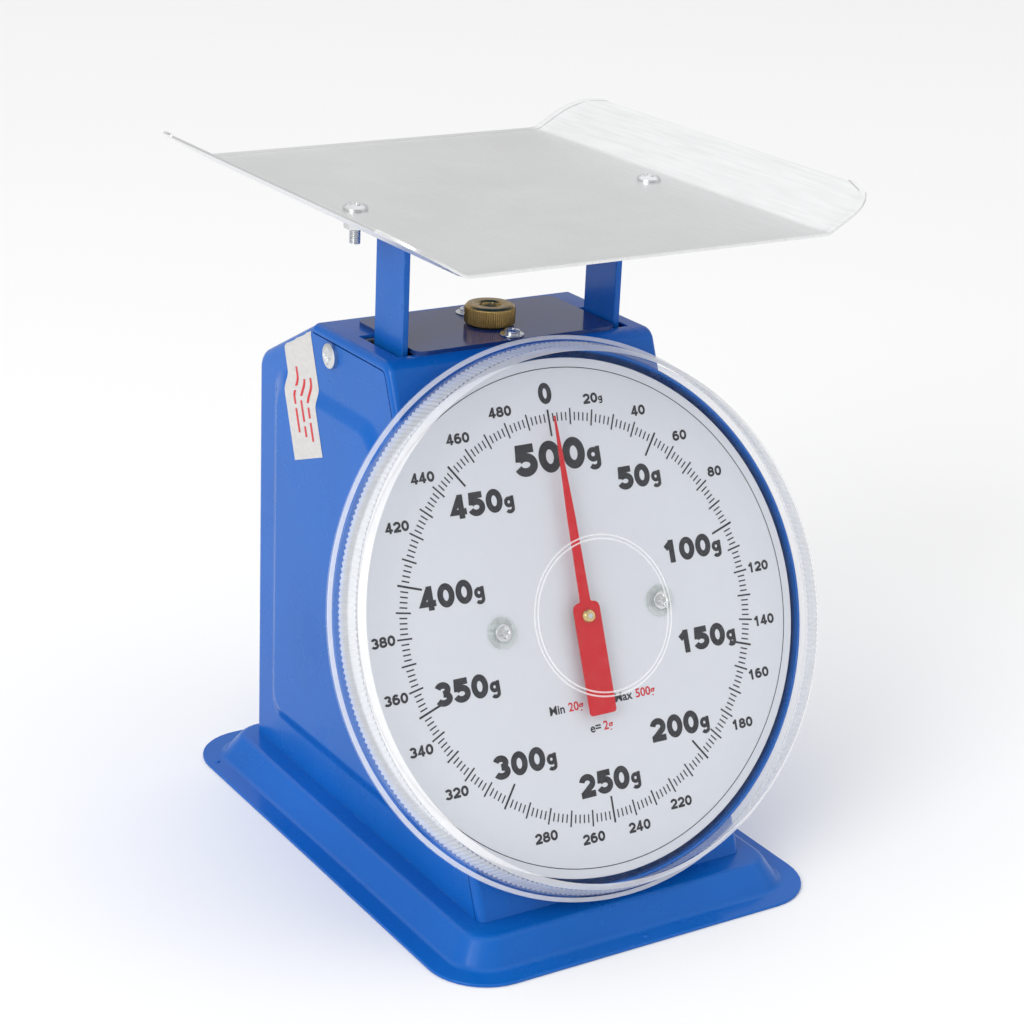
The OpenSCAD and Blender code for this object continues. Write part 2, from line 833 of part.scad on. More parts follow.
// Teeth along +Y whose tips point to -X, centred so that one tooth faces the arbor.
module rack_teeth() {
    pitch = PI * gear_module;
    half = pitch / 4 - backlash / 2;
    lean_in = gear_module * tan(20);
    for (i = [ceil(rack_low / pitch) + 1 : floor(rack_high / pitch) - 1])
        translate([pitch_r, i * pitch]) polygon([
            [gear_module * 1.3, half + 1.3 * lean_in], [-gear_module * 0.9, half - 0.9 * lean_in],
            [-gear_module * 0.9, -half + 0.9 * lean_in], [gear_module * 1.3, -half - 1.3 * lean_in]
        ]);
}

module rack() {
    root = pitch_r + gear_module * 1.25;
    back = root + 5;
    ear_t = 2;
    color("goldenrod") difference() {
        on_dial() translate([0, 0, rack_n - rack_t]) {
            linear_extrude(rack_t) {
                rack_teeth();
                translate([root, rack_low]) square([back - root, rack_high - rack_low]);
                translate([back - cut, tab_low]) square([arm_x - back + cut, tab_high - tab_low]);
            }
            translate([arm_x - ear_t, tab_low, -12]) cube([ear_t, tab_high - tab_low, 12 + rack_t]);
        }
        at_rack_screws() rotate([0, 90, 0])
            cylinder(h = 3 * arm_t, r = m3_r + slip, center = true);
    }
}

module rack_screws() {
    color(steel) {
        at_rack_screws() translate([arm_t, 0, 0]) rotate([0, 90, 0])
            cross_screw(m3_r, 2.5, 1.6, 2 * arm_t + 2);
        at_arm_screws() translate([0, -arm_t, 0]) rotate([90, 0, 0])
            cross_screw(m3_r, 2.8, 1.8, arm_t + carrier_t + 2);
    }
}

// ---- Movement ----

movement_screw_x = 11;
movement_screw_y = 14;
bush_r = 3;
bush_flange_r = 4.2;
bush_flange_t = 1.6;
post_r = 3.5;
post_shank_r = 2;
peen = 0.8;                                   // how far a riveted end stands behind its plate

module movement_plate(h) {
    translate([-movement_w / 2, -movement_h / 2, 0]) cube([movement_w, movement_h, h]);
}

module at_pillars() {
    for (x = [-pillar_x, pillar_x], y = [-pillar_y, pillar_y])
        translate([x, y, 0]) children();
}

module at_movement_screws() {
    for (x = [-movement_screw_x, movement_screw_x], y = [-movement_screw_y, movement_screw_y])
        translate([x, y, 0]) children();
}

module movement_front_plate() {
    color(steel) on_dial() translate([0, 0, front_plate_n]) difference() {
        movement_plate(plate_t);
        translate([0, 0, -cut]) cylinder(h = plate_t + 2 * cut, r = bush_r + slip);
        at_movement_screws() translate([0, 0, -cut])
            cylinder(h = plate_t + 2 * cut, r = m3_r + slip);
        at_pillars() translate([0, 0, -cut]) cylinder(h = plate_t + 2 * cut, r = m3_r + slip);
    }
}

module movement_rear_plate() {
    color(steel) on_dial() translate([0, 0, rear_plate_n]) difference() {
        movement_plate(plate_t);
        translate([0, 0, -cut]) cylinder(h = plate_t + 2 * cut, r = bush_r + slip);
        at_pillars() translate([0, 0, -cut]) cylinder(h = plate_t + 2 * cut, r = m3_r + slip);
    }
}

// Spacers with a stud at each end that passes through the two plates and is peened over.
module movement_pillars() {
    color("goldenrod") on_dial() at_pillars() {
        translate([0, 0, rear_plate_n + plate_t]) cylinder(h = movement_depth, r = pillar_r);
        translate([0, 0, rear_plate_n - peen])
            cylinder(h = movement_depth + 2 * plate_t + peen, r = m3_r);
    }
}

module movement_screws() {
    color(steel) on_dial() at_movement_screws() translate([0, 0, sheet_n + dish_t])
        cross_screw(m3_r, 2.8, 1.8, dish_t + case_t + plate_t + 1);
}

module bush(len) {
    difference() {
        union() {
            cylinder(h = len, r = bush_r);
            translate([0, 0, -bush_flange_t]) cylinder(h = bush_flange_t, r = bush_flange_r);
        }
        translate([0, 0, -bush_flange_t - cut])
            cylinder(h = len + bush_flange_t + 2 * cut, r = arbor_d / 2 + slip);
    }
}

module front_bush() {
    color("goldenrod") on_dial() translate([0, 0, front_plate_n]) bush(plate_t + case_t + dish_t);
}

module rear_bush() {
    color("goldenrod") on_dial() translate([0, 0, rear_plate_n + plate_t]) mirror([0, 0, 1])
        bush(plate_t);
}

hub_n = 1.2;
hub_h = 2.6;
pointer_t = 0.6;
pointer_nut_h = 1.8;
pinion_front = rack_n + 1;
pinion_rear = rack_n - rack_t - slide_n - 1;

module arbor() {
    end = 0.4;
    collar_r = 1.8;
    collar_t = 1;
    color(steel) on_dial() {
        translate([0, 0, rear_plate_n - end])
            cylinder(h = hub_n + hub_h + pointer_t + pointer_nut_h + end - rear_plate_n, r = arbor_d / 2);
        translate([0, 0, rear_plate_n + plate_t + bush_flange_t + gap])
            cylinder(h = collar_t, r = collar_r);
        translate([0, 0, front_plate_n - bush_flange_t - gap - collar_t])
            cylinder(h = collar_t, r = collar_r);
    }
}

// A gap between two teeth faces +X, where the rack's middle tooth sits.
module pinion() {
    pitch_angle = 360 / teeth;
    root_r = pitch_r - 1.2 * gear_module;
    tip_r = pitch_r + 0.9 * gear_module;
    half_root = PI * gear_module / 4;
    half_tip = PI * gear_module / 4 - backlash / 2 - 0.9 * gear_module * tan(20) - 0.03;
    color("goldenrod") on_dial() translate([0, 0, pinion_rear]) difference() {
        linear_extrude(pinion_front - pinion_rear) {
            circle(r = root_r);
            for (i = [0 : teeth - 1])
                rotate([0, 0, (i + 0.5) * pitch_angle]) polygon([
                    [root_r * 0.8, -half_root], [pitch_r, -half_root + backlash],
                    [tip_r, -half_tip], [tip_r, half_tip],
                    [pitch_r, half_root - backlash], [root_r * 0.8, half_root]
                ]);
        }
        translate([0, 0, -cut]) cylinder(h = far, r = arbor_d / 2);
    }
}

module pointer_hub() {
    hub_r = 3;
    hub_base_r = 4;
    color("goldenrod") on_dial() translate([0, 0, hub_n]) difference() {
        union() {
            cylinder(h = hub_h, r = hub_r);
            cylinder(h = hub_h / 2, r = hub_base_r);
        }
        translate([0, 0, -cut]) cylinder(h = hub_h + 2 * cut, r = arbor_d / 2);
    }
}

// Flat sheet pointer: a long needle, a waist, and a broad tail that balances it.
module pointer() {
    needle_w = 4.4;
    tail_w = 11;
    shoulder = 5;
    color("crimson") on_dial() translate([0, 0, hub_n + hub_h]) difference() {
        union() {
            linear_extrude(pointer_t) polygon([
                [-needle_w / 2, 0], [-needle_w * 0.4, pointer_len * 0.48], [-0.3, pointer_len],
                [0.3, pointer_len], [needle_w * 0.4, pointer_len * 0.48], [needle_w / 2, 0]
            ]);
            translate([-tail_w / 2, -tail_len, 0]) cube([tail_w, tail_len + shoulder, pointer_t]);
        }
        translate([0, 0, -cut]) cylinder(h = pointer_t + 2 * cut, r = arbor_d / 2);
    }
}

// Low nut with a cross cut in its face.
module pointer_nut() {
    low_r = 2.6;
    top_r = 2.2;
    slot_w = 0.6;
    slot_deep = 0.7;
    color("gold") on_dial() translate([0, 0, hub_n + hub_h + pointer_t]) difference() {
        cylinder(h = pointer_nut_h, r1 = low_r, r2 = top_r);
        translate([0, 0, -cut]) cylinder(h = pointer_nut_h + 2 * cut, r = arbor_d / 2);
        for (turn = [0, 90])
            rotate([0, 0, turn]) translate([-low_r - cut, -slot_w / 2, pointer_nut_h - slot_deep])
                cube([2 * (low_r + cut), slot_w, slot_deep + cut]);
    }
}

// ---- Dial ----

dish_t = 1;
thread_depth = 5;                             // of the screw hole in a dial post
dish_rim = 1;                                 // how far the dish's rim stands in front of the dial
dial_r = dish_d / 2 - dish_t - 2.5;
dial_hole_r = 3;                              // round the arbor, hidden behind the pointer

module dial_pan() {
    color(blue) on_dial() difference() {
        rotate_extrude($fn = 96) {
            translate([0, sheet_n]) square([dish_d / 2, dish_t]);
            translate([dish_d / 2 - dish_t, sheet_n]) square([dish_t, dial_stand + dish_rim]);
        }
        front_holes(sheet_n, dish_t);
    }
}

module dial_posts() {
    color("goldenrod") on_dial() for (x = [-dial_screw_x, dial_screw_x])
        translate([x, 0, 0]) difference() {
            union() {
                translate([0, 0, sheet_n + dish_t])
                    cylinder(h = dial_stand - dish_t - dial_t, r = post_r);
                translate([0, 0, sheet_n - case_t - peen])
                    cylinder(h = dish_t + case_t + peen + cut, r = post_shank_r);
            }
            translate([0, 0, -dial_t - thread_depth])
                cylinder(h = thread_depth + cut, r = m3_r + slip);
        }
}

module dial_plate() {
    color("white") on_dial() translate([0, 0, -dial_t]) difference() {
        cylinder(h = dial_t, r = dial_r, $fn = 96);
        translate([0, 0, -cut]) cylinder(h = dial_t + 2 * cut, r = dial_hole_r);
        for (x = [-dial_screw_x, dial_screw_x])
            translate([x, 0, -cut]) cylinder(h = dial_t + 2 * cut, r = m3_r + slip);
    }
}

dial_washer_t = 1;

module dial_washers() {
    color("lightcyan") on_dial() for (x = [-dial_screw_x, dial_screw_x])
        translate([x, 0, 0]) washer(m3_r + slip, 5.6, dial_washer_t);
}

module dial_screws() {
    color(steel) on_dial() for (x = [-dial_screw_x, dial_screw_x])
        translate([x, 0, dial_washer_t]) cross_screw(m3_r, 3.2, 1.8, dial_washer_t + dial_t + 4);
}

// One turned section: rear flange, slightly conical wall and flat front.
module lens() {
    flange_r = lens_d / 2;
    flange_n = 0.8;
    wall_r = dish_d / 2 + gap + lens_t;
    draft = 2.5;
    shoulder = wall_r - draft;
    bevel = 2;
    color("lightcyan", 0.35) on_dial() rotate_extrude($fn = 96) polygon([
        [flange_r, -flange_n], [flange_r, flange_n], [wall_r, flange_n], [shoulder, lens_h - bevel],
        [shoulder - bevel, lens_h], [0, lens_h], [0, lens_h - lens_t],
        [shoulder - bevel, lens_h - lens_t], [shoulder - lens_t, lens_h - lens_t - bevel / 2],
        [wall_r - lens_t, flange_n + bevel / 4], [wall_r - lens_t, -flange_n]
    ]);
}

// ---- Seal ----

strip_w = 24;
strip_t = 0.2;
strip_y = 42;                                 // middle of the strip's lower end
strip_low = 52;                               // how far the strip's lower end is below the top

// Paper strip on the left side: flat at the top, sloping over the raised panel's edge, flat on the panel.
module seal_strip() {
    strip_top = 3;
    slope_top = roof_drop + emboss_in - 17;
    slope_low = slope_top + 9;
    color("whitesmoke") {
        seal_piece(case_x, slope_top, strip_top);
        seal_piece(case_x + emboss_h, strip_low, slope_low);
        mirror([1, 0, 0]) hull() {
            seal_block(case_x, slope_top, slope_top - thin);
            seal_block(case_x + emboss_h, slope_low + thin, slope_low);
        }
    }
}

module seal_block(x, low, high) {
    along_x(x, x + strip_t) translate([strip_y, top_z - low]) square([strip_w, low - high]);
}

module seal_piece(x, low, high) {
    mirror([1, 0, 0]) seal_block(x, low, high);
}

base_plate();
base_screws();
base_nuts();
chassis();
front_case();
rear_cover();
cover_screws();
top_plate();
top_plate_screws();
top_plate_washers();
zero_knob();
hanger_stud();
spring_hanger();
hanger_nut();
spring_left();
spring_right();
leg_left();
leg_right();
crossbar();
crossbar_rivets();
leg_screws();
support_plate();
pan();
pan_screws();
pan_washers();
pan_nuts();
upper_link();
lower_link();
upper_shaft();
lower_shaft();
shaft_clips();
upper_pins();
lower_pins();
rack_arm();
rack();
rack_screws();
movement_front_plate();
movement_rear_plate();
movement_pillars();
movement_screws();
front_bush();
rear_bush();
arbor();
pinion();
pointer_hub();
pointer();
pointer_nut();
dial_pan();
dial_posts();
dial_plate();
dial_screws();
dial_washers();
lens();
seal_strip();
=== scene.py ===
"""Mechanical dial platform scale: enamelled sheet case, dial under a clear cover, bright sheet pan.

Sizes are in millimetres, and most come from the CAD nodes' boxes. mesh_piece() turns them into metres.
"""

import json
import math

import bpy
from mathutils import Matrix, Vector
from mathutils.geometry import tessellate_polygon


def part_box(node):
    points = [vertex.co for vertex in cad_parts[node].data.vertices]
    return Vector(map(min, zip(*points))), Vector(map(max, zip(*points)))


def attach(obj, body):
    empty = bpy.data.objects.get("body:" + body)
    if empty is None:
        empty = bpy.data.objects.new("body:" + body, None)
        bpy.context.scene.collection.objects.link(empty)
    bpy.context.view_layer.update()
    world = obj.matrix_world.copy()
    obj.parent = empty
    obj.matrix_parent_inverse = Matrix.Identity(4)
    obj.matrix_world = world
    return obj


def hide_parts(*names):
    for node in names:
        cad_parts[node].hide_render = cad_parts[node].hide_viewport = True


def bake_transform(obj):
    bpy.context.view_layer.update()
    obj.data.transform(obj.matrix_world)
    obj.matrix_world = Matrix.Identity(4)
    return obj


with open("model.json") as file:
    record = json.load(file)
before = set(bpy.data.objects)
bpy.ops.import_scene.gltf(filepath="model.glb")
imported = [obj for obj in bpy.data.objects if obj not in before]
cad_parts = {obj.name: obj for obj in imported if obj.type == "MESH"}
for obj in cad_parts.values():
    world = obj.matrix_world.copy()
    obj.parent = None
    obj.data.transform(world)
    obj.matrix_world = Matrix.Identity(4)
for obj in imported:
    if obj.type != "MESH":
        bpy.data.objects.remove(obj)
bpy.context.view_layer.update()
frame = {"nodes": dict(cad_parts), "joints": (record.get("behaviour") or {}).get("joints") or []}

MM = 0.001
TAU = 2 * math.pi


# ---- Sizes read from the frame ----

def box(node):
    low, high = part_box(node)
    return low / MM, high / MM


def joint(name):
    return next(j for j in frame["joints"] if j["name"] == name)


def middle(node):
    low, high = box(node)
    return (low + high) / 2


DIAL_CENTRE = Vector(joint("pointer_turn")["pos_m"]) / MM
DIAL_OUT = -Vector(joint("pointer_turn")["axis"]).normalized()
DIAL_UP = DIAL_OUT.cross(Vector((1, 0, 0)))
LEAN = math.atan2(DIAL_OUT.z, -DIAL_OUT.y)
DIAL_TURN = Matrix((Vector((1, 0, 0)), DIAL_UP, DIAL_OUT)).transposed()
ON_DIAL = Matrix.Translation(DIAL_CENTRE) @ DIAL_TURN.to_4x4()

BASE_LOW, BASE_HIGH = box("base_plate")
CASE_LOW, CASE_HIGH = box("front_case")
COVER_HIGH = box("rear_cover")[1]
CASE_X = CASE_HIGH.x
BASE_Z = BASE_HIGH.z
TOP_Z = CASE_HIGH.z
TOP_REAR = CASE_HIGH.y
BACK_Y = COVER_HIGH.y
SHEET = 1.2
LEG_LOW, LEG_HIGH = box("leg_right")
LEG_X = LEG_HIGH.x - (LEG_HIGH.x - box("crossbar")[1].x) / 2
KNOB = middle("zero_knob")


def from_dial(node):
    """A node's points, seen from the middle of the dial's face."""
    return [v.co / MM - DIAL_CENTRE for v in frame["nodes"][node].data.vertices]


def along_dial(node):
    """Lowest and highest distance of a node in front of the dial's face."""
    heights = [DIAL_OUT.dot(arm) for arm in from_dial(node)]
    return min(heights), max(heights)


def dial_radius(node):
    """Largest distance of a node from the dial's axis."""
    return max((arm - DIAL_OUT * arm.dot(DIAL_OUT)).length for arm in from_dial(node))


# ---- Outlines ----

def arc(centre, radius, start, end, steps):
    """Points on a circle from one angle to another, in radians."""
    turn = (end - start) / steps
    return [
        (centre[0] + radius * math.cos(start + i * turn), centre[1] + radius * math.sin(start + i * turn))
        for i in range(steps + 1)
    ]


def rounded_rect(width, depth, radius, steps=10):
    x, y = width / 2 - radius, depth / 2 - radius
    loop = []
    for k, (cx, cy) in enumerate([(x, y), (-x, y), (-x, -y), (x, -y)]):
        loop += arc((cx, cy), radius, k * TAU / 4, (k + 1) * TAU / 4, steps)
    return loop


def round_path(points, radii, steps=6, closed=False):
    """The path with an arc of the given radius in place of each corner whose radius isn't 0."""
    path = []
    count = len(points)
    for i, point in enumerate(points):
        here = Vector(point)
        if radii[i] <= 0 or (not closed and i in (0, count - 1)):
            path.append((here.x, here.y))
            continue
        before = (Vector(points[i - 1]) - here).normalized()
        after = (Vector(points[(i + 1) % count]) - here).normalized()
        half = before.angle(after) / 2
        middle_point = here + (before + after).normalized() * radii[i] / math.sin(half)
        first = here + before * radii[i] / math.tan(half) - middle_point
        last = here + after * radii[i] / math.tan(half) - middle_point
        start = math.atan2(first.y, first.x)
        sweep = (math.atan2(last.y, last.x) - start + math.pi) % TAU - math.pi
        path += arc(middle_point, radii[i], start, start + sweep, steps)
    return path


def inset_polygon(points, distance):
    """A convex anticlockwise polygon with every side moved inwards."""
    moved = []
    count = len(points)
    for i in range(count):
        a, b, c = (Vector(points[(i + k) % count]) for k in (-1, 0, 1))
        before, after = (b - a).normalized(), (c - b).normalized()
        normal_a, normal_b = Vector((-before.y, before.x)), Vector((-after.y, after.x))
        bisector = (normal_a + normal_b) / (1 + normal_a.dot(normal_b))
        moved.append(tuple(b + bisector * distance))
    return moved


def smoothstep(t):
    return t * t * (3 - 2 * t)


# ---- Mesh building ----

def circle(height, segments, radius):
    """Points round Z at a height. radius(angle) gives each point's distance."""
    angles = [k * TAU / segments for k in range(segments)]
    return [(radius(a) * math.cos(a), radius(a) * math.sin(a), height) for a in angles]


class Skin:
    """Points and faces of one piece, in millimetres."""

    def __init__(self):
        self.points = []
        self.faces = []

    def add(self, x, y, z):
        self.points.append((x, y, z))
        return len(self.points) - 1

    def ring(self, points):
        return [self.add(*p) for p in points]

    def bridge(self, a, b, closed=True):
        for i in range(len(a) if closed else len(a) - 1):
            j = (i + 1) % len(a)
            self.faces.append((a[i], a[j], b[j], b[i]))

    def loft(self, rings, closed=True):
        made = [self.ring(r) for r in rings]
        for a, b in zip(made, made[1:]):
            self.bridge(a, b, closed)
        return made

    def cap(self, ring):
        self.faces.append(tuple(ring))

    def loft_closed(self, rings):
        made = self.loft(rings)
        self.cap(reversed(made[0]))
        self.cap(made[-1])

    def fill_between(self, outer, inner):
        """Flat faces between an outer ring and a ring inside it, both already added."""
        ids = list(outer) + list(inner)
        loops = [[Vector(self.points[i]) for i in outer], [Vector(self.points[i]) for i in inner]]
        for triangle in tessellate_polygon(loops):
            self.cap(ids[i] for i in triangle)

    def lathe(self, profile, segments, wave=None):
        """Turns a profile of (radius, height) about Z. wave(angle, index) is added to the radius."""
        return self.loft([
            circle(height, segments, lambda angle: radius + (wave(angle, index) if wave else 0))
            for index, (radius, height) in enumerate(profile)
        ])

    def tube(self, path, radius, sides=10):
        """A round bar along a path, with closed ends."""
        spine = [Vector(p) for p in path]
        side = None
        rings = []
        for i, here in enumerate(spine):
            ahead = (spine[min(i + 1, len(spine) - 1)] - spine[max(i - 1, 0)]).normalized()
            if side is None:
                side = ahead.orthogonal().normalized()
            side = (side - ahead * side.dot(ahead)).normalized()
            other = ahead.cross(side)
            rings.append([
                tuple(here + (side * math.cos(a) + other * math.sin(a)) * radius)
                for a in (k * TAU / sides for k in range(sides))
            ])
        self.loft_closed(rings)

    def slab(self, outline, low, high):
        """A flat plate between two heights from a closed outline."""
        self.loft_closed([[(x, y, level) for x, y in outline] for level in (low, high)])

    def merge(self, other, place):
        """Adds another skin, moved by a matrix."""
        offset = len(self.points)
        self.points += [tuple(place @ Vector(p)) for p in other.points]
        self.faces += [tuple(i + offset for i in face) for face in other.faces]


def raw_mesh(name, skin):
    """The skin as a mesh in metres."""
    mesh = bpy.data.meshes.new(name)
    mesh.from_pydata([tuple(Vector(p) * MM) for p in skin.points], [], skin.faces)
    return mesh


def link(name, data):
    """A new object in the scene."""
    thing = bpy.data.objects.new(name, data)
    bpy.context.scene.collection.objects.link(thing)
    return thing


def raised(x, y, z=0):
    return Matrix.Translation((x, y, z))


WELD_GAP = 0.004


def mesh_piece(
    name, skin, material, body, replaces=(), place=None, sheet=0, bevel=0, smooth=True
):
    """Makes the object: sheet is a thickness added behind the faces, bevel rounds its edges."""
    mesh = raw_mesh(name, skin)
    if place is not None:
        in_metres = place.copy()
        in_metres.translation = place.translation * MM
        mesh.transform(in_metres)
    mesh.validate()
    mesh.shade_smooth() if smooth else mesh.shade_flat()
    mesh.materials.append(material)
    piece = link(name, mesh)
    weld = piece.modifiers.new("weld", "WELD")
    weld.merge_threshold = WELD_GAP * MM
    if sheet:
        solid = piece.modifiers.new("sheet", "SOLIDIFY")
        solid.thickness = sheet * MM
        solid.offset = -1
    if bevel:
        add_bevel(piece, bevel)
    if smooth:
        add_weighted_normals(piece)
    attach(piece, body)
    if replaces:
        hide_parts(*replaces)
    return piece


def paint_faces(piece, material, first, last):
    """Gives a run of the piece's faces another material."""
    piece.data.materials.append(material)
    index = len(piece.data.materials) - 1
    for face in piece.data.polygons[first:last]:
        face.material_index = index


def add_bevel(piece, width):
    bevel = piece.modifiers.new("bevel", "BEVEL")
    bevel.width = width * MM
    bevel.segments = 3
    bevel.limit_method = "ANGLE"
    bevel.angle_limit = math.radians(35)
    bevel.use_clamp_overlap = True


def add_weighted_normals(piece):
    normals = piece.modifiers.new("normals", "WEIGHTED_NORMAL")
    normals.keep_sharp = True
    normals.weight = 100


# ---- Materials ----

class Nodes:
    """A short way to write a procedural material: each call adds one node and returns its output."""

    def __init__(self, name):
        self.material = bpy.data.materials.new(name)
        self.material.use_nodes = True
        self.tree = self.material.node_tree
        self.shader = self.tree.nodes["Principled BSDF"]
        self.place = self.tree.nodes.new("ShaderNodeTexCoord").outputs["Object"]

    def node(self, kind, links=None, **values):
        made = self.tree.nodes.new(kind)
        for key, value in values.items():
            setattr(made, key, value)
        for socket, source in (links or {}).items():
            self.feed(made, socket, source)
        return made

    def feed(self, node, socket, source):
        """Links another node's output to the socket, or sets its value."""
        if isinstance(source, bpy.types.NodeSocket):
            self.tree.links.new(source, node.inputs[socket])
        else:
            node.inputs[socket].default_value = source

    def noise(self, scale, detail=3, stretch=None):
        place = self.place
        if stretch:
            place = self.node("ShaderNodeMapping", {"Vector": place, "Scale": stretch}).outputs["Vector"]
        links = {"Vector": place, "Scale": scale, "Detail": detail, "Roughness": 0.55}
        return self.node("ShaderNodeTexNoise", links).outputs["Fac"]

    def ramp(self, source, low, high, start=0.0, end=1.0):
        """Maps a value from start..end onto low..high, clamped."""
        links = {"Value": source, "From Min": start, "From Max": end, "To Min": low, "To Max": high}
        return self.node("ShaderNodeMapRange", links, clamp=True).outputs["Result"]

    def cloud(self, scale, detail, low=0, high=1, start=0.3, end=0.7):
        """Noise whose middle range is spread over low..high."""
        return self.ramp(self.noise(scale, detail), low, high, start, end)

    def drift(self, scale, detail, color, dark, light):
        """The colour with a soft change between two gains."""
        return self.mix(self.cloud(scale, detail), rgb(color, dark), rgb(color, light))

    def math(self, operation, a, b):
        return self.node("ShaderNodeMath", {0: a, 1: b}, operation=operation).outputs[0]

    def mix(self, factor, a, b):
        """Blends two colours. A mix node's colour sockets are found by number, as their names repeat."""
        factor_in, first_in, second_in, color_out = 0, 6, 7, 2
        links = {factor_in: factor, first_in: a, second_in: b}
        return self.node("ShaderNodeMix", links, data_type="RGBA").outputs[color_out]

    def edge_wear(self, reach=0.5):
        """1 on worn patches of edges, where a rounded normal turns away from the real one, else 0."""
        rounded = self.node("ShaderNodeBevel", {"Radius": reach * MM}, samples=4).outputs["Normal"]
        real = self.node("ShaderNodeNewGeometry").outputs["Normal"]
        pair = {0: rounded, 1: real}
        same = self.node("ShaderNodeVectorMath", pair, operation="DOT_PRODUCT").outputs["Value"]
        edge = self.ramp(same, 1, 0, 0.75, 0.96)
        patches = self.cloud(150, 4, 0, 1, 0.48, 0.62)
        return self.math("MULTIPLY", edge, patches)

    def bump(self, height, strength, distance):
        links = {"Height": height, "Strength": strength, "Distance": distance * MM}
        self.set("Normal", self.node("ShaderNodeBump", links).outputs["Normal"])

    def set(self, socket, source):
        self.feed(self.shader, socket, source)


def rgb(color, gain=1.0):
    return tuple(min(1, c * gain) for c in color) + (1.0,)


def enamel(name, color, rough, coat, worn):
    """Baked enamel on sheet: faint orange peel, soft colour drift, small worn spots on edges."""
    look = Nodes(name)
    paint = look.drift(14, 3, color, 0.92, 1.07)
    specks = look.cloud(1900, 1, 0, 0.5, 0.7, 0.78)
    paint = look.mix(specks, paint, rgb(color, 0.7))
    wear = look.edge_wear()
    look.set("Base Color", look.mix(look.math("MULTIPLY", wear, 0.55), paint, rgb(worn)))
    smear = look.cloud(45, 5, rough * 0.8, rough * 1.35)
    look.set("Roughness", look.math("MAXIMUM", smear, look.math("MULTIPLY", wear, 0.4)))
    look.bump(look.math("ADD", look.noise(420, 2), look.math("MULTIPLY", look.noise(60, 2), 0.5)), 0.07, 0.04)
    look.set("Coat Weight", coat)
    look.set("Coat Roughness", 0.06)
    look.set("Specular IOR Level", 0.2)
    return look.material


def metal(name, color, rough, grain=(1, 1, 1), grain_scale=300, grain_depth=0.02,
          tarnish=None, tarnish_amount=0.3, blotch=1.0):
    """Bare or plated metal: directional grain, blotchy roughness and, where given, dull tarnish."""
    look = Nodes(name)
    base = look.drift(22, 4, color, 1 - 0.1 * blotch, 1 + 0.06 * blotch)
    lines = look.noise(grain_scale, 3, grain)
    base = look.mix(look.ramp(lines, 0, 0.35, 0.35, 0.7), base, rgb(color, 0.82))
    if tarnish:
        spots = look.cloud(120, 5, 0, tarnish_amount, 0.42, 0.62)
        base = look.mix(spots, base, rgb(tarnish))
    look.set("Base Color", base)
    look.set("Metallic", 1.0)
    smear = look.cloud(35, 4, rough * (1 - 0.2 * blotch), rough * (1 + 0.3 * blotch))
    look.set("Roughness", look.math("ADD", smear, look.ramp(lines, -0.04, 0.05, 0.3, 0.7)))
    look.bump(lines, 0.25, grain_depth)
    return look.material


def print_ink(name, color):
    """Screen-printed ink: a little thicker and thinner, on a satin surface."""
    look = Nodes(name)
    thin = look.cloud(700, 3, 0, 0.35, 0.5, 0.75)
    look.set("Base Color", look.mix(thin, rgb(color), rgb([c * 0.75 + 0.06 for c in color])))
    look.set("Roughness", look.cloud(90, 3, 0.38, 0.55))
    look.bump(look.noise(1500, 2), 0.15, 0.01)
    return look.material


def dial_enamel():
    look = Nodes("dial_enamel")
    look.set("Base Color", look.drift(11, 3, (0.70, 0.725, 0.78), 0.985, 1.015))
    look.set("Roughness", look.cloud(50, 4, 0.32, 0.42))
    look.bump(look.noise(900, 2), 0.08, 0.02)
    return look.material


def clear_plastic(name, tint_and_reflection_color, low, high, haze):
    """Clear moulded plastic: thin looking face on, and whiter where it is seen edge on, which is a painted
    reflection of the bright surround.
    """
    look = Nodes(name)
    facing = look.node("ShaderNodeLayerWeight", {"Blend": 0.35}).outputs["Facing"]
    # Painted reflection: more of the pale colour shows as the surface turns edge on.
    painted_reflection_veil = look.ramp(facing, low, high, 0.25, 0.95)
    dust = look.cloud(260, 4, 0, haze, 0.5, 0.75)
    look.set("Alpha", look.math("ADD", painted_reflection_veil, dust))
    look.set("Base Color", look.drift(20, 3, tint_and_reflection_color, 0.96, 1.03))
    look.set("Roughness", look.cloud(70, 4, 0.05, 0.14))
    look.set("Specular IOR Level", 0.3)
    look.bump(look.noise(40, 2), 0.06, 0.05)
    return look.material


def paper(name, color):
    look = Nodes(name)
    fibre = look.ramp(look.noise(900, 4, (1, 0.3, 1)), 0, 1, 0.35, 0.65)
    stain = look.cloud(60, 3, 0, 0.25, 0.5, 0.75)
    sheet = look.mix(fibre, rgb(color, 0.95), rgb(color, 1.03))
    look.set("Base Color", look.mix(stain, sheet, (0.72, 0.66, 0.55, 1)))
    look.set("Roughness", look.cloud(200, 3, 0.55, 0.75))
    look.bump(look.noise(1200, 3), 0.3, 0.02)
    return look.material


BLUE = enamel("blue_enamel", (0.004, 0.118, 0.48), 0.24, 0.08, (0.25, 0.34, 0.45))
NAVY = enamel("navy_enamel", (0.012, 0.045, 0.19), 0.16, 0.25, (0.2, 0.22, 0.28))
PAN_METAL = metal("pan_sheet", (0.83, 0.835, 0.84), 0.34, (6.0, 0.25, 1.0), 160, 0.006, blotch=0.25)
AGED_BRASS = metal("aged_brass", (0.46, 0.31, 0.11), 0.3, (1, 1, 4), 200, 0.02, (0.16, 0.11, 0.05), 0.4)
BRASS = metal("turned_brass", (0.80, 0.60, 0.26), 0.24, (1, 1, 5), 250, 0.01, (0.45, 0.3, 0.12), 0.3)
ZINC = metal("zinc_plate", (0.72, 0.74, 0.76), 0.26, (1, 1, 2), 320, 0.012, (0.55, 0.53, 0.46), 0.3)
STRUCTURE = metal("plated_sheet", (0.56, 0.57, 0.59), 0.4, (1, 4, 1), 180, 0.015, (0.4, 0.38, 0.33), 0.35)
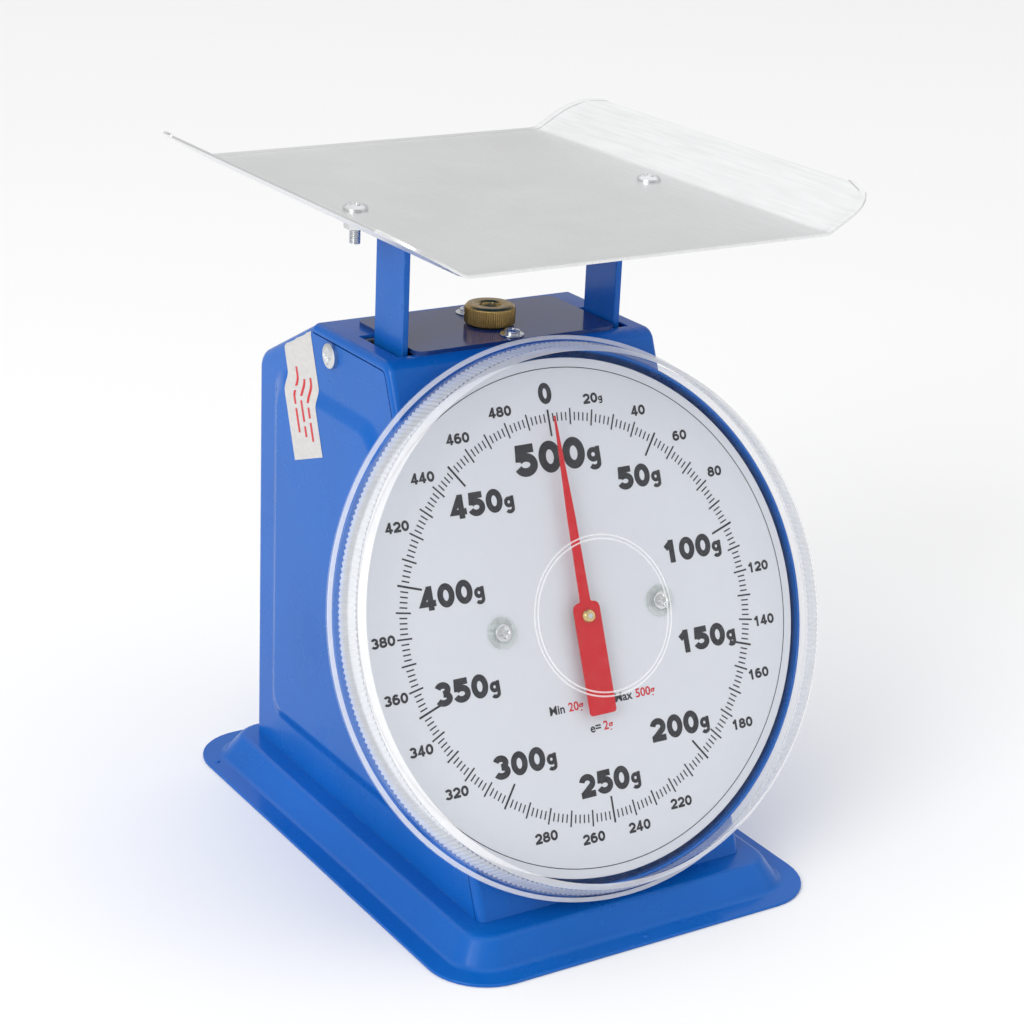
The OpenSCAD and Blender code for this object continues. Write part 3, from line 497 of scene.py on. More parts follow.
SPRING_STEEL = metal("spring_steel", (0.5, 0.5, 0.52), 0.28, (1, 1, 6), 300, 0.008, (0.3, 0.27, 0.22), 0.3)
DIAL_WHITE = dial_enamel()
BLACK_INK = print_ink("black_ink", (0.012, 0.013, 0.02))
RED_INK = print_ink("red_ink", (0.62, 0.02, 0.03))
RED_ENAMEL = enamel("red_enamel", (0.62, 0.012, 0.02), 0.28, 0.3, (0.4, 0.2, 0.2))
CLEAR = clear_plastic("clear_cover", (0.93, 0.95, 0.98), 0.012, 0.55, 0.012)
# Ribbed wall: light grey and mostly opaque, a painted reflection on the clear ribs.
RIBS_PAINTED_REFLECTION = clear_plastic("clear_cover_ribs_painted_reflection", (0.84, 0.86, 0.88), 0.5, 0.85, 0.05)
# Flange edge, bevel and double ring: near-opaque white, painted highlight lines on the clear cover.
EDGES_PAINTED_HIGHLIGHT = clear_plastic("clear_cover_edges_painted_highlight", (0.97, 0.98, 1.0), 0.55, 0.9, 0.05)
CLEAR_WASHER = clear_plastic("clear_washer", (0.86, 0.93, 0.90), 0.35, 0.9, 0.1)
PAPER = paper("seal_paper", (0.60, 0.59, 0.58))


# ---- Base ----

def build_base():
    """Pressed base: flat flange, sloping step and plateau, all with soft bends."""
    width = BASE_HIGH.x - BASE_LOW.x
    depth = BASE_HIGH.y - BASE_LOW.y
    corner, flange, run, plateau = 22, 8, 6.5, 10
    profile = round_path(
        [(0, SHEET), (flange, SHEET), (flange + run, BASE_Z), (flange + run + plateau, BASE_Z)],
        [0, 2.8, 3.2, 0],
    )
    skin = Skin()
    rings = []
    for inset, z in profile:
        radius = corner - min(inset, flange) - max(0, inset - flange) / 2
        outline = rounded_rect(width - 2 * inset, depth - 2 * inset, radius)
        rings.append([(x, y, z) for x, y in outline])
    made = skin.loft(rings)
    skin.cap(made[-1])
    mesh_piece("base_plate_pressed", skin, BLUE, "root", ["base_plate"], sheet=SHEET, bevel=0.4)
    pips = Skin()
    for x, y in ((0, BASE_LOW.y + flange / 2), (BASE_LOW.x + flange / 2, BASE_HIGH.y - corner)):
        pip = Skin()
        made = pip.lathe([(1.2, -0.1), (1.1, 0.2), (0.7, 0.42), (0.2, 0.5)], 24)
        pip.cap(made[-1])
        pips.merge(pip, raised(x, y, SHEET))
    mesh_piece("base_plate_pips", pips, BLUE, "root")


# ---- Case ----

LIP = 3.2                                     # rolled edge of the front sheet on each side
SEAM = 0.4                                    # gap between the front sheet and the rear cover
BEND = 6                                      # radius from the front to the top
TOP_DROP = math.tan(LEAN)
FOOT_Y = CASE_LOW.y
TOP_FRONT = FOOT_Y + (TOP_Z - BASE_Z) * TOP_DROP
ROOF_TAN = 0.5227                             # slope of the roof behind the top
PANEL_RISE = COVER_HIGH.x - CASE_X


def front_y(z, inset):
    """Where the front sheet is at a height, set into the case by a distance."""
    return TOP_FRONT + inset / math.cos(LEAN) - (TOP_Z - z) * TOP_DROP


def front_path(inset, stops=()):
    """Side view of the front and the top, set into the case, as (y, z)."""
    top = TOP_Z - inset
    points = [(front_y(BASE_Z, inset), BASE_Z), (front_y(top, inset), top)]
    points += [(stop, top) for stop in stops]
    points.append((TOP_REAR, top))
    radii = [0, BEND - inset] + [0] * (len(points) - 2)
    return round_path(points, radii, 8)


def roof_z(y, inset):
    return TOP_Z - (y - TOP_REAR) * ROOF_TAN - inset / math.cos(math.atan(ROOF_TAN))


def rear_path(inset):
    """Side view of the roof and the back, set into the case, as (y, z)."""
    back = BACK_Y - inset
    start = TOP_REAR + SEAM
    points = [(start, roof_z(start, inset)), (back, roof_z(back, inset)), (back, BASE_Z)]
    return round_path(points, [0, 9 - inset, 0], 10)


def channel(radius, depth, stops=()):
    """Half of a folded sheet's section from its edge to the middle, as (x, inset)."""
    turn = arc((CASE_X - radius, radius), radius, 0, -TAU / 4, 6)
    side = [(CASE_X, depth)] if depth > radius else []
    return side + turn + [(stop, 0) for stop in stops]


def folded_sheet(path, half, skip=None):
    """A sheet whose section runs across the case and which follows a path in side view."""
    section = [(-x, inset) for x, inset in half] + half[::-1]
    columns = [[(x, y, z) for y, z in path(inset)] for x, inset in section]
    skin = Skin()
    made = [skin.ring(column) for column in columns]
    for a, b in zip(made, made[1:]):
        for i in range(len(a) - 1):
            corners = (a[i], a[i + 1], b[i + 1], b[i])
            centre = sum((Vector(skin.points[c]) for c in corners), Vector()) / 4
            if not (skip and skip(centre)):
                skin.faces.append(corners)
    return skin, made


def build_front_case():
    """Front and top in one sheet, with rolled side lips and a slot for each leg."""
    slot_half, slot_front, slot_rear = 4, max(LEG_LOW.y - 6, TOP_FRONT + BEND), LEG_HIGH.y + 6
    stops = (LEG_X + slot_half, LEG_X - slot_half)

    def in_slot(p):
        return abs(abs(p.x) - LEG_X) < slot_half and slot_front < p.y < slot_rear and p.z > TOP_Z - 1

    skin, _ = folded_sheet(
        lambda inset: front_path(inset, (slot_front, slot_rear)), channel(2.6, LIP, stops), in_slot
    )
    orient(skin, together=True)
    mesh_piece("front_case_sheet", skin, BLUE, "root", ["front_case"], sheet=SHEET, bevel=0.3)


def panel_outline(inset):
    """Outline of the raised side panel, set in, anticlockwise as (y, z)."""
    margin = 14
    top = 182.5
    corners = [
        (front_y(BASE_Z, 0), BASE_Z), (BACK_Y, BASE_Z), (BACK_Y, top), (front_y(top, 0), top)
    ]
    return round_path(inset_polygon(corners, margin + inset), [9, 7, 9, 11], 8, closed=True)


def build_rear_cover():
    """Both sides, the roof and the back in one sheet, with a raised panel on each side."""
    corner = LIP + SEAM
    skin, made = folded_sheet(rear_path, channel(corner, 0))
    slope, steps = 7, 8
    for side, rim in ((-1, made[0]), (1, made[-1])):
        front = skin.ring([(side * CASE_X, y, z) for y, z in front_path(corner)])
        rings = []
        for t in (k / steps for k in range(steps + 1)):
            x = side * (CASE_X + PANEL_RISE * smoothstep(t))
            rings.append([(x, y, z) for y, z in panel_outline(slope * t)])
        if side < 0:
            rings = [list(reversed(ring)) for ring in rings]
        panel = skin.loft(rings)
        skin.cap(panel[-1])
        skin.fill_between(front + rim, panel[0])
    orient(skin)
    mesh_piece("rear_cover_sheet", skin, BLUE, "root", ["rear_cover"], sheet=SHEET, bevel=0.3)


def orient(skin, together=False):
    """Turns the faces, each by itself or all together, to look away from the middle of the case."""
    centre = Vector((0, (CASE_LOW.y + BACK_Y) / 4, (BASE_Z + TOP_Z) / 2))
    outwards = []
    for face in skin.faces:
        corners = [Vector(skin.points[i]) for i in face]
        normal = Vector()
        for a, b in zip(corners, corners[1:] + corners[:1]):
            normal += a.cross(b)
        outwards.append(normal.dot(sum(corners, Vector()) / len(corners) - centre) > 0)
    if together:
        outwards = [sum(outwards) > len(outwards) / 2] * len(outwards)
    skin.faces = [face if out else tuple(reversed(face)) for face, out in zip(skin.faces, outwards)]


# ---- Pan ----

def build_pan():
    """Flat tray with two upturned sides, rounded at their corners, and a rolled front and rear edge."""
    low, high = box("pan")
    thick = 1
    top = low.z + thick
    wing, slope = 25.5, math.radians(30)
    reach = high.x - thick / 2 * math.sin(slope)
    flat = reach - wing * math.cos(slope)
    rise = wing * math.sin(slope)
    half_depth, corner = (high.y - low.y) / 2, 15
    centre_y = (low.y + high.y) / 2
    ends = [(-reach, top + rise), (-flat, top), (flat, top), (reach, top + rise)]
    bend, step = 7, 3.0
    path = subdivide(round_path(ends, [0, bend, bend, 0], 8), step)
    lengths = [0.0]
    for a, b in zip(path, path[1:]):
        lengths.append(lengths[-1] + math.dist(a, b))
    total = lengths[-1]
    rows = 24
    hem, hem_edge, hem_rise = 3.4, 0.5, 0.35
    skin = Skin()
    columns = []
    for (x, z), s in zip(path, lengths):
        into = max(0, corner - min(s, total - s))
        half = half_depth - corner + math.sqrt(max(0, corner ** 2 - into ** 2))
        inner = half - hem - hem_edge
        edge = [(-half, z + hem_rise), (-half + hem, z + hem_rise)]
        flat_rows = [(inner * (2 * k / rows - 1), z) for k in range(rows + 1)]
        far_edge = [(-y, level) for y, level in reversed(edge)]
        columns.append([(x, centre_y + y, level) for y, level in edge + flat_rows + far_edge])
    skin.loft(columns, closed=False)
    skin.faces = [tuple(reversed(face)) for face in skin.faces]
    mesh_piece("pan_sheet", skin, PAN_METAL, "platform", ["pan"], sheet=thick, bevel=0.35)


def subdivide(path, longest):
    """The path with points added so that no step is longer than asked."""
    finer = [path[0]]
    for a, b in zip(path, path[1:]):
        parts = max(1, math.ceil(math.dist(a, b) / longest))
        for k in range(1, parts + 1):
            finer.append((a[0] + (b[0] - a[0]) * k / parts, a[1] + (b[1] - a[1]) * k / parts))
    return finer


# ---- Dial ----

FULL_SCALE = 500
INK = 0.06                                    # how far the ink stands in front of the dial's face


def build_dish():
    """Shallow blue dish behind the dial, with a rolled rim."""
    back, front = along_dial("dial_pan")
    radius = dial_radius("dial_pan")
    thick, inner_bend, outer_bend = 1, 2.5, 3.5
    inside = [(0.01, back + thick), (radius - thick, back + thick), (radius - thick, front - 0.4)]
    outside = [(radius, front - thick), (radius, back), (0.01, back)]
    outline = round_path(inside, [0, inner_bend, 0], 5)
    outline += arc((radius - thick / 2, front - thick / 2), thick / 2, math.pi, 0, 6)
    outline += round_path(outside, [0, outer_bend, 0], 5)
    skin = Skin()
    skin.lathe(outline, 180)
    mesh_piece("dial_dish", skin, BLUE, "root", ["dial_pan"], place=ON_DIAL)


def dial_angle(value):
    return TAU / 4 - value / FULL_SCALE * TAU


def tick(skin, value, inner, outer, width):
    """One graduation at a value on the dial, as a thin bar."""
    angle = dial_angle(value)
    along = Vector((math.cos(angle), math.sin(angle)))
    side = Vector((-along.y, along.x)) * width / 2
    outline = [along * inner + side, along * inner - side, along * outer - side, along * outer + side]
    skin.faces.append(tuple(skin.add(p.x, p.y, INK) for p in outline))


def print_on_dial(name, skin, ink):
    mesh_piece(name, skin, ink, "root", place=ON_DIAL, smooth=False)


def build_graduations():
    """A line every 2, a longer one every 10 and the longest every 50."""
    skin = Skin()
    for value in range(0, FULL_SCALE, 2):
        if value % 50 == 0:
            tick(skin, value, 64.5, 74, 0.75)
        elif value % 10 == 0:
            tick(skin, value, 68.2, 74, 0.6)
        else:
            tick(skin, value, 69.6, 72.6, 0.5)
    print_on_dial("dial_graduations", skin, BLACK_INK)


def oval(cx, cy, rx, ry, start, end):
    """Part of an ellipse from one angle to another, in degrees."""
    steps = max(4, int(abs(end - start) / 12))
    angles = [math.radians(start + (end - start) * k / steps) for k in range(steps + 1)]
    return [(cx + rx * math.cos(a), cy + ry * math.sin(a)) for a in angles]


# Each figure's strokes along their middles, in a box one unit wide and one high.
# OVER carries a square end out to where a curve's outer edge would be.
OVER = 0.18
FIGURES = {
    "0": [oval(0.5, 0.5, 0.5, 0.5, 0, 360)],
    "1": [[(0.62, -OVER), (0.62, 1 + OVER)], [(0.6, 1.0), (0.05, 0.7)]],
    "2": [oval(0.5, 0.68, 0.5, 0.32, 170, -35) + [(0.06, 0.04)], [(-OVER, 0), (1 + OVER, 0)]],
    "3": [oval(0.48, 0.75, 0.45, 0.25, 160, -90), oval(0.48, 0.25, 0.52, 0.25, 90, -160)],
    "4": [[(0.72, -OVER), (0.72, 1 + OVER)], [(0.66, 1.0), (-0.02, 0.2), (1 + OVER, 0.2)]],
    "5": [[(1 + OVER / 2, 1), (0.14, 1), (0.06, 0.46)], oval(0.46, 0.32, 0.54, 0.32, 140, -160)],
    "6": [oval(0.5, 0.3, 0.5, 0.3, 0, 360), oval(0.54, 0.5, 0.54, 0.5, 190, 50)],
    "8": [oval(0.5, 0.765, 0.43, 0.235, 0, 360), oval(0.5, 0.265, 0.52, 0.265, 0, 360)],
    "g": [
        oval(0.45, 0.62, 0.45, 0.34, 0, 360),
        [(1.0, 1 + OVER), (1.0, 0.0)],
        oval(0.5, 0.0, 0.5, 0.3, 0, -150),
    ],
}


def stroke(skin, path, width, height):
    """A flat band along a path, mitred at its corners."""
    left, right = [], []
    closed = math.dist(path[0], path[-1]) < 1e-6
    count = len(path)
    for i in range(count):
        before = Vector(path[i - 1]) if i else Vector(path[-2] if closed else path[0])
        after = Vector(path[i + 1]) if i < count - 1 else Vector(path[1] if closed else path[-1])
        here = Vector(path[i])
        ahead = [v.normalized() for v in (here - before, after - here) if v.length > 1e-9]
        along = sum(ahead, Vector((0, 0))).normalized()
        stretch = min(1.6, 1 / max(0.3, along.dot(ahead[0])))
        side = Vector((-along.y, along.x)) * width / 2 * stretch
        left.append(skin.add(*(here + side), height))
        right.append(skin.add(*(here - side), height))
    for i in range(count - 1):
        skin.faces.append((left[i], right[i], right[i + 1], left[i + 1]))


def label(skin, text, centre, height, weight, unit="", aspect=0.8):
    """One upright number, with a smaller unit behind it, centred on a point of the dial."""
    gap, unit_share, layer = 0.06 * height, 0.6, 0.002
    symbols = [(c, height) for c in text] + [(c, height * unit_share) for c in unit]
    width = sum(h * aspect + gap for _, h in symbols) - gap
    x = centre[0] - width / 2
    foot = centre[1] - height / 2
    level = INK
    for symbol, tall in symbols:
        line = tall * weight
        for path in FIGURES[symbol]:
            spots = [
                (x + line / 2 + u * (tall * aspect - line), foot + line / 2 + v * (tall - line))
                for u, v in path
            ]
            stroke(skin, spots, line, level)
            level += layer
        x += tall * aspect + gap


def words(skin, text, spot, height):
    """Small lettering in the built-in font, its lower left corner at a point of the dial."""
    capital_share, boldness = 0.73, 0.03
    curve = bpy.data.curves.new("letters", "FONT")
    curve.body = text
    curve.size = height / capital_share
    curve.offset = height * boldness
    curve.resolution_u = 3
    maker = link("letters", curve)
    mesh = bpy.data.meshes.new_from_object(maker.evaluated_get(bpy.context.evaluated_depsgraph_get()))
    letters = Skin()
    letters.points = [tuple(v.co) for v in mesh.vertices]
    letters.faces = [tuple(p.vertices) for p in mesh.polygons]
    skin.merge(letters, raised(spot[0], spot[1], INK))
    bpy.data.objects.remove(maker)
    bpy.data.curves.remove(curve)
    bpy.data.meshes.remove(mesh)


def build_numbers():
    """Heavy numbers inside the graduations every 50, and small ones outside every 20."""
    heavy, light = 0.27, 0.24
    skin = Skin()
    label(skin, "0", (0, 79.8), 7.6, 0.25, aspect=0.72)
    label(skin, "500", (1.0, 57.5), 11.4, heavy, "g", 0.82)
    for value in range(50, FULL_SCALE, 50):
        angle = dial_angle(value)
        inside = 59.0 - 6.0 * abs(math.cos(angle)) ** 1.5
        centre = (inside * math.cos(angle) + 0.6, inside * math.sin(angle))
        label(skin, str(value), centre, 8.4, heavy, "g")
    for value in (v for v in range(20, FULL_SCALE, 20) if v % 100):
        angle = dial_angle(value)
        outside = 77.8 + 1.6 * abs(math.cos(angle))
        centre = (outside * math.cos(angle), outside * math.sin(angle))
        label(skin, str(value), centre, 3.7, light, "g" if value == 20 else "")
    small = 3.2
    for text, spot in (("Min", (-19.5, -32.0)), ("Max", (8.0, -32.4)), ("e=", (-4.0, -41.0))):
        words(skin, text, spot, small)
    print_on_dial("dial_numbers", skin, BLACK_INK)
    red = Skin()
    for text, spot in (("20g", (-11.5, -32.0)), ("500g", (17.0, -32.4)), ("2g", (1.6, -41.0))):
        words(red, text, spot, small)
    print_on_dial("dial_limits", red, RED_INK)


def build_dial_ring():
    """Hairline black circle near the dial's edge."""
    skin = Skin()
    border_r, line = 88.4, 0.3
    skin.lathe([(border_r, INK), (border_r + line, INK)], 240)
    print_on_dial("dial_border", skin, BLACK_INK)


def build_pointer():
    """Flat red pointer with a rounded pad, its long needle and a broad balancing tail."""
    low, high = along_dial("pointer")
    length, pad, tail, shoulder = 71.5, 11, 35, 5
    outline = round_path(
        [
            (-pad / 2, shoulder), (-pad / 2, -tail), (pad / 2, -tail), (pad / 2, shoulder),
            (2.1, shoulder), (1.65, length * 0.49), (0.28, length), (-0.28, length),
            (-1.65, length * 0.49), (-2.1, shoulder),
        ],
        [2.6, 1.2, 1.2, 2.6, 0.8, 0, 0.2, 0.2, 0, 0.8], 5, closed=True,
    )
    skin = Skin()
    skin.slab(outline, low, high)
    mesh_piece(
        "pointer_sheet", skin, RED_ENAMEL, "pointer_set", ["pointer"], ON_DIAL, bevel=0.15
    )


def build_lens():
    """Clear moulded cover: flange, finely ribbed wall, bevel, flat front and a double ring."""
    radius = dial_radius("lens")
    back, front = along_dial("lens")
    wall, thick, draft = radius - 2.5, 1.8, 2.5
    shoulder = wall - draft
    outside = [
        (radius - 0.2, back), (radius, back + 0.3), (radius, 0.5), (radius - 0.3, 0.8),
        (wall + 0.9, 0.8), (wall + 0.2, 1.3), (wall - 0.1, 2.2), (wall - 0.3, 3.0),
    ]
    ribs = [(wall - 0.3 - (draft - 0.5) * k / 6, 3.4 + 8.4 * k / 6) for k in range(7)]
    bevel = [(shoulder, front - 2.4), (shoulder - 0.15, front - 2.0), (shoulder - 2.0, front - 0.12)]
    bevel.append((shoulder - 2.3, front))
    face = []
    crest = front + 0.2
    for ring in (28.2, 26.8):
        face += [(ring + 0.3, front), (ring + 0.1, crest), (ring - 0.1, crest), (ring - 0.3, front)]
    inside = [
        (0.01, front - thick), (shoulder - 2.6, front - thick), (shoulder - thick, front - thick - 1.2),
        (wall - thick - 0.2, 1.2), (wall - thick, back),
    ]
    profile = outside + ribs + bevel + face + [(0.01, front)] + inside
    first_rib, last_rib = len(outside), len(outside) + len(ribs) - 1
    rib_count, per_rib = 300, 4

    def ribbing(angle, index):
        if first_rib <= index <= last_rib:
            return 0.28 * math.cos(angle * rib_count) - 0.1
        return 0

    skin = Skin()
    made = skin.lathe(profile, rib_count * per_rib, ribbing)
    skin.bridge(made[-1], made[0])
    cover = mesh_piece("lens_cover", skin, CLEAR, "root", ["lens"], place=ON_DIAL)
    per_ring = rib_count * per_rib
    first_face = last_rib + 1 + len(bevel)
    # Painted light on the cover: the ribbed wall gets a painted reflection; the flange's edge, the bevel and
    # the double ring get painted highlight lines.
    for material, first, last in (
        (RIBS_PAINTED_REFLECTION, first_rib, last_rib), (EDGES_PAINTED_HIGHLIGHT, last_rib + 1, first_face - 1), (EDGES_PAINTED_HIGHLIGHT, 2, 4),
        (EDGES_PAINTED_HIGHLIGHT, first_face, first_face + 3), (EDGES_PAINTED_HIGHLIGHT, first_face + 4, first_face + 7),
    ):
        paint_faces(cover, material, first * per_ring, last * per_ring)


# ---- Fasteners ----

def screw_head(radius, height, rim=0.55):
    """Domed Phillips head standing on Z = 0, its cross sunk into the dome."""
    skin = Skin()
    segments, rings = 48, 9
    arm, reach, deep = radius * 0.17, radius * 0.62, height * 0.55

    def top(x, y):
        r = math.hypot(x, y) / radius
        dome = height * (rim + (1 - rim) * math.sqrt(max(0, 1 - (r / 1.04) ** 2)))
        a, b = abs(x), abs(y)
        inside = min(a, b) < arm and max(a, b) < reach
        slope = 1 - 0.55 * max(a, b) / reach
        return dome - (deep * slope if inside else 0)

    loops = [circle(0, segments, lambda angle: radius * k / rings) for k in range(rings, 0, -1)]
    skin.loft_closed(loops[:1] + [[(x, y, top(x, y)) for x, y, _ in loop] for loop in loops])
    return skin


def washer_ring(inner, outer, height):
    skin = Skin()
    edge = min(0.2, height * 0.3)
    profile = [
        (inner, 0), (inner, height - edge), (inner + edge, height), (outer - edge, height),
        (outer, height - edge), (outer, edge), (outer - edge, 0),
    ]
    made = skin.lathe(profile, 48)
    skin.bridge(made[-1], made[0])
    return skin


def hexagon_nut(across, height, hole):
    """Hexagon nut, its corners chamfered at the top and the bottom."""
    skin = Skin()
    segments = 48

    def flat(angle):
        return across * math.cos(TAU / 12) / math.cos((angle + TAU / 12) % (TAU / 6) - TAU / 12)

    chamfer = across * 0.93
    levels = ((0, chamfer), (0.4, across), (height - 0.4, across), (height, chamfer))
    rings = [circle(level, segments, lambda angle: min(flat(angle), limit)) for level, limit in levels]
    rings += [circle(level, segments, lambda angle: hole) for level in (height, 0)]
    made = skin.loft(rings)
    skin.bridge(made[-1], made[0])
    return skin


def threaded_stud(radius, low, high, pitch=0.7):
    """A stud whose thread is a single helical groove, ending in a small chamfer."""
    skin = Skin()
    segments, depth = 24, radius * 0.09
    count = max(2, int((high - low) / pitch * 8))
    rings = []
    for i in range(count + 1):
        z = low + (high - low) * i / count
        end = min(1, (z - low) / 0.5 + 0.55)
        turn = z / pitch * TAU
        rings.append(circle(
            z, segments, lambda angle: (radius - depth + depth * math.cos(turn - angle)) * end
        ))
    skin.loft_closed(rings)
    return skin


def sideways(side, spot):
    """Placement whose Z runs out of the case's left (-1) or right (1) side."""
    return Matrix.Translation(spot) @ Matrix.Rotation(side * TAU / 4, 4, "Y")


def shank(radius, low, high):
    skin = Skin()
    skin.lathe([(0.01, low), (radius, low), (radius, high), (0.01, high)], 24)
    return skin


def foot_of(low, high):
    """Middle of a box's lower face."""
    return Vector(((low.x + high.x) / 2, (low.y + high.y) / 2, low.z))


def islands(node):
    """The separate solids of a CAD node, as (lowest, highest corner) in millimetres."""
    mesh = frame["nodes"][node].data
    joined = {}
    for face in mesh.polygons:
        keys = [tuple(round(c / MM, 2) for c in mesh.vertices[i].co) for i in face.vertices]
        for key in keys:
            joined.setdefault(key, set()).update(keys)
    boxes = []
    while joined:
        members, queue = [], [next(iter(joined))]
        while queue:
            key = queue.pop()
            if key in joined:
                members.append(key)
                queue += joined.pop(key)
        boxes.append(tuple(Vector([end(m[i] for m in members) for i in range(3)]) for end in (min, max)))
    return sorted(boxes, key=lambda b: tuple(b[0]))


def build_pan_fasteners():
    """Screw heads on the pan, and washers, nuts and stud ends below the support plate."""
    heads, washers, nuts = Skin(), Skin(), Skin()
    head_r, low_rim, stud_r, hole_r, washer_r, nut_r = 4.4, 0.15, 2, 2.05, 4.8, 4
    head_low = box("pan")[0].z + 1
    for low, high in islands("pan_screws"):
        spot = foot_of(low, high)
        head = screw_head(head_r, high.z - head_low, low_rim)
        heads.merge(head, raised(spot.x, spot.y, head_low))
        heads.merge(threaded_stud(stud_r, low.z, head_low), raised(spot.x, spot.y))
    for low, high in islands("pan_washers"):
        washers.merge(washer_ring(hole_r, washer_r, high.z - low.z), raised(*foot_of(low, high)))
    for low, high in islands("pan_nuts"):
        nuts.merge(hexagon_nut(nut_r, high.z - low.z, hole_r), raised(*foot_of(low, high)))
    mesh_piece("pan_screw_set", heads, ZINC, "platform", ["pan_screws"], bevel=0.05)
    mesh_piece("pan_washer_set", washers, ZINC, "platform", ["pan_washers"])
    mesh_piece("pan_nut_set", nuts, ZINC, "platform", ["pan_nuts"], bevel=0.12)


def build_top_fasteners():
    """Screws and washers of the top plate, before and behind the knob."""
    heads, washers = Skin(), Skin()
    head_r, head_h, shank_r, hole_r, washer_r, reach = 2.8, 1.8, 1.5, 1.55, 4.4, 6
    for low, high in islands("top_plate_washers"):
        spot = foot_of(low, high)
        thick = high.z - low.z
        washers.merge(washer_ring(hole_r, washer_r, thick), raised(*spot))
        heads.merge(screw_head(head_r, head_h), raised(spot.x, spot.y, spot.z + thick))
        heads.merge(shank(shank_r, -reach, thick), raised(*spot))
    mesh_piece("top_screw_set", heads, ZINC, "root", ["top_plate_screws"], bevel=0.05)
    mesh_piece("top_washer_set", washers, ZINC, "root", ["top_plate_washers"])


def build_cover_screws():
    """One screw on each side, where the cover is held to the front case."""
    heads = Skin()
    head_r, shank_r, reach = 4.6, 2, 4
    for low, high in islands("cover_screws"):
        side = 1 if high.x > 0 else -1
        place = sideways(side, Vector((side * CASE_X, (low.y + high.y) / 2, (low.z + high.z) / 2)))
        heads.merge(screw_head(head_r, max(high.x, -low.x) - CASE_X), place)
        heads.merge(shank(shank_r, -reach, 0.4), place)
    mesh_piece("cover_screw_set", heads, ZINC, "root", ["cover_screws"], bevel=0.05)


def build_dial_fasteners():
    """Two screws with clear washers that hold the dial, and the pointer's brass nut."""
    heads, washers = Skin(), Skin()
    low, high = along_dial("dial_washers")
    head_r, hole_r, washer_r = 3.2, 1.6, 5.6
    reach = dial_radius("dial_washers") - washer_r
    head_top = along_dial("dial_screws")[1]
    for x in (-reach, reach):
        washers.merge(washer_ring(hole_r, washer_r, high - low), raised(x, 0, low))
        heads.merge(screw_head(head_r, head_top - high), raised(x, 0, high))
    mesh_piece("dial_screw_set", heads, ZINC, "root", ["dial_screws"], ON_DIAL, bevel=0.05)
    mesh_piece(
        "dial_washer_set", washers, CLEAR_WASHER, "root", ["dial_washers"], ON_DIAL
    )
    low, high = along_dial("pointer_nut")
    bore, wide = 1.05, 2.6
    profile = [(bore, low), (wide, low), (wide, low + 0.5), (2.45, low + 0.9)]
    profile += [(1.9, high - 0.1), (1.6, high), (bore, high)]
    nut = Skin()
    made = nut.lathe(profile, 48)
    nut.bridge(made[-1], made[0])
    mesh_piece("pointer_nut_turned", nut, BRASS, "pointer_set", ["pointer_nut"], ON_DIAL, bevel=0.06)


# ---- Knob ----

def build_knob():
    """Brass knob with a fine straight knurl, chamfered rims and a countersunk hole."""
    low, high = box("zero_knob")
    radius = (high.x - low.x) / 2
    height = high.z - low.z
    knurls, per_knurl = 72, 6
    hole = 3.05
    profile = [
        (hole, 0), (radius - 0.9, 0), (radius - 0.7, 0.25), (radius - 0.6, 0.7), (radius, 1.0),
        (radius, height - 1.1), (radius - 0.35, height - 0.6), (radius - 0.9, height),
        (hole + 1.2, height), (hole + 0.7, height - 0.5), (hole + 0.7, height - 2.9), (hole, height - 3),
    ]

    def knurl(angle, index):
        if index in (4, 5):
            return -0.32 * abs(math.sin(angle * knurls / 2)) ** 0.6
        return 0

    skin = Skin()
    made = skin.lathe(profile, knurls * per_knurl, knurl)
    skin.bridge(made[-1], made[0])
    place = raised(KNOB.x, KNOB.y, low.z)
    mesh_piece("zero_knob_turned", skin, AGED_BRASS, "knob", ["zero_knob"], place)


# ---- Springs ----

def build_springs():
    """Close-wound weighing springs with a round hook at each end."""
    wire, hook_r = 0.7, 4.0
    for name in ("spring_left", "spring_right"):
        low, high = box(name)
        centre = (low + high) / 2
        coil_r = (high.x - low.x) / 2 - wire
        bottom, top = low.z + 2 * hook_r + wire, high.z - 2 * hook_r - wire
        turns = int((top - bottom) / (2 * wire) * 0.72)
        per_turn = 20
        path = hook_path(centre, low.z + wire + hook_r, hook_r, coil_r, -1)
        for k in range(turns * per_turn + 1):
            angle = k * TAU / per_turn
            z = bottom + (top - bottom) * k / (turns * per_turn)
            path.append((centre.x + coil_r * math.cos(angle), centre.y + coil_r * math.sin(angle), z))
        path += hook_path(centre, high.z - wire - hook_r, hook_r, coil_r, 1)
        skin = Skin()
        skin.tube(path, wire, 8)
        mesh = raw_mesh(name + "_coil", skin)
        mesh.shade_smooth()
        mesh.materials.append(SPRING_STEEL)
        coil = link(name + "_coil", mesh)
        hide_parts(name)
        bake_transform(coil)


def hook_path(centre, z, radius, coil_r, end):
    """A nearly closed round hook through its plate, joined to the coil's first or last turn."""
    opening = math.radians(60)
    turn = arc((0, 0), radius, -end * (TAU / 4), end * (TAU * 3 / 4 - opening), 20)
    points = [(centre.x, centre.y + y, z + h) for y, h in turn]
    lead = [(centre.x + coil_r * 0.6, centre.y, z - end * (radius + 0.2))]
    return list(reversed(points)) + lead if end < 0 else lead + points


# ---- Seal strip ----

def side_surface(y, z):
    """How far the left side or its raised panel stands out at a point."""
    slope = 7
    inside = min(edge_distance(panel_outline(0), (y, z)) / slope, 1)
    return CASE_X + PANEL_RISE * smoothstep(max(0, inside))


def edge_distance(outline, point):
    """Distance into a convex anticlockwise outline, negative outside it."""
    nearest = 1e9
    for a, b in zip(outline, outline[1:] + outline[:1]):
        edge = Vector(b) - Vector(a)
        if edge.length < 1e-6:
            continue
        offset = Vector(point) - Vector(a)
        nearest = min(nearest, (edge.x * offset.y - edge.y * offset.x) / edge.length)
    return nearest


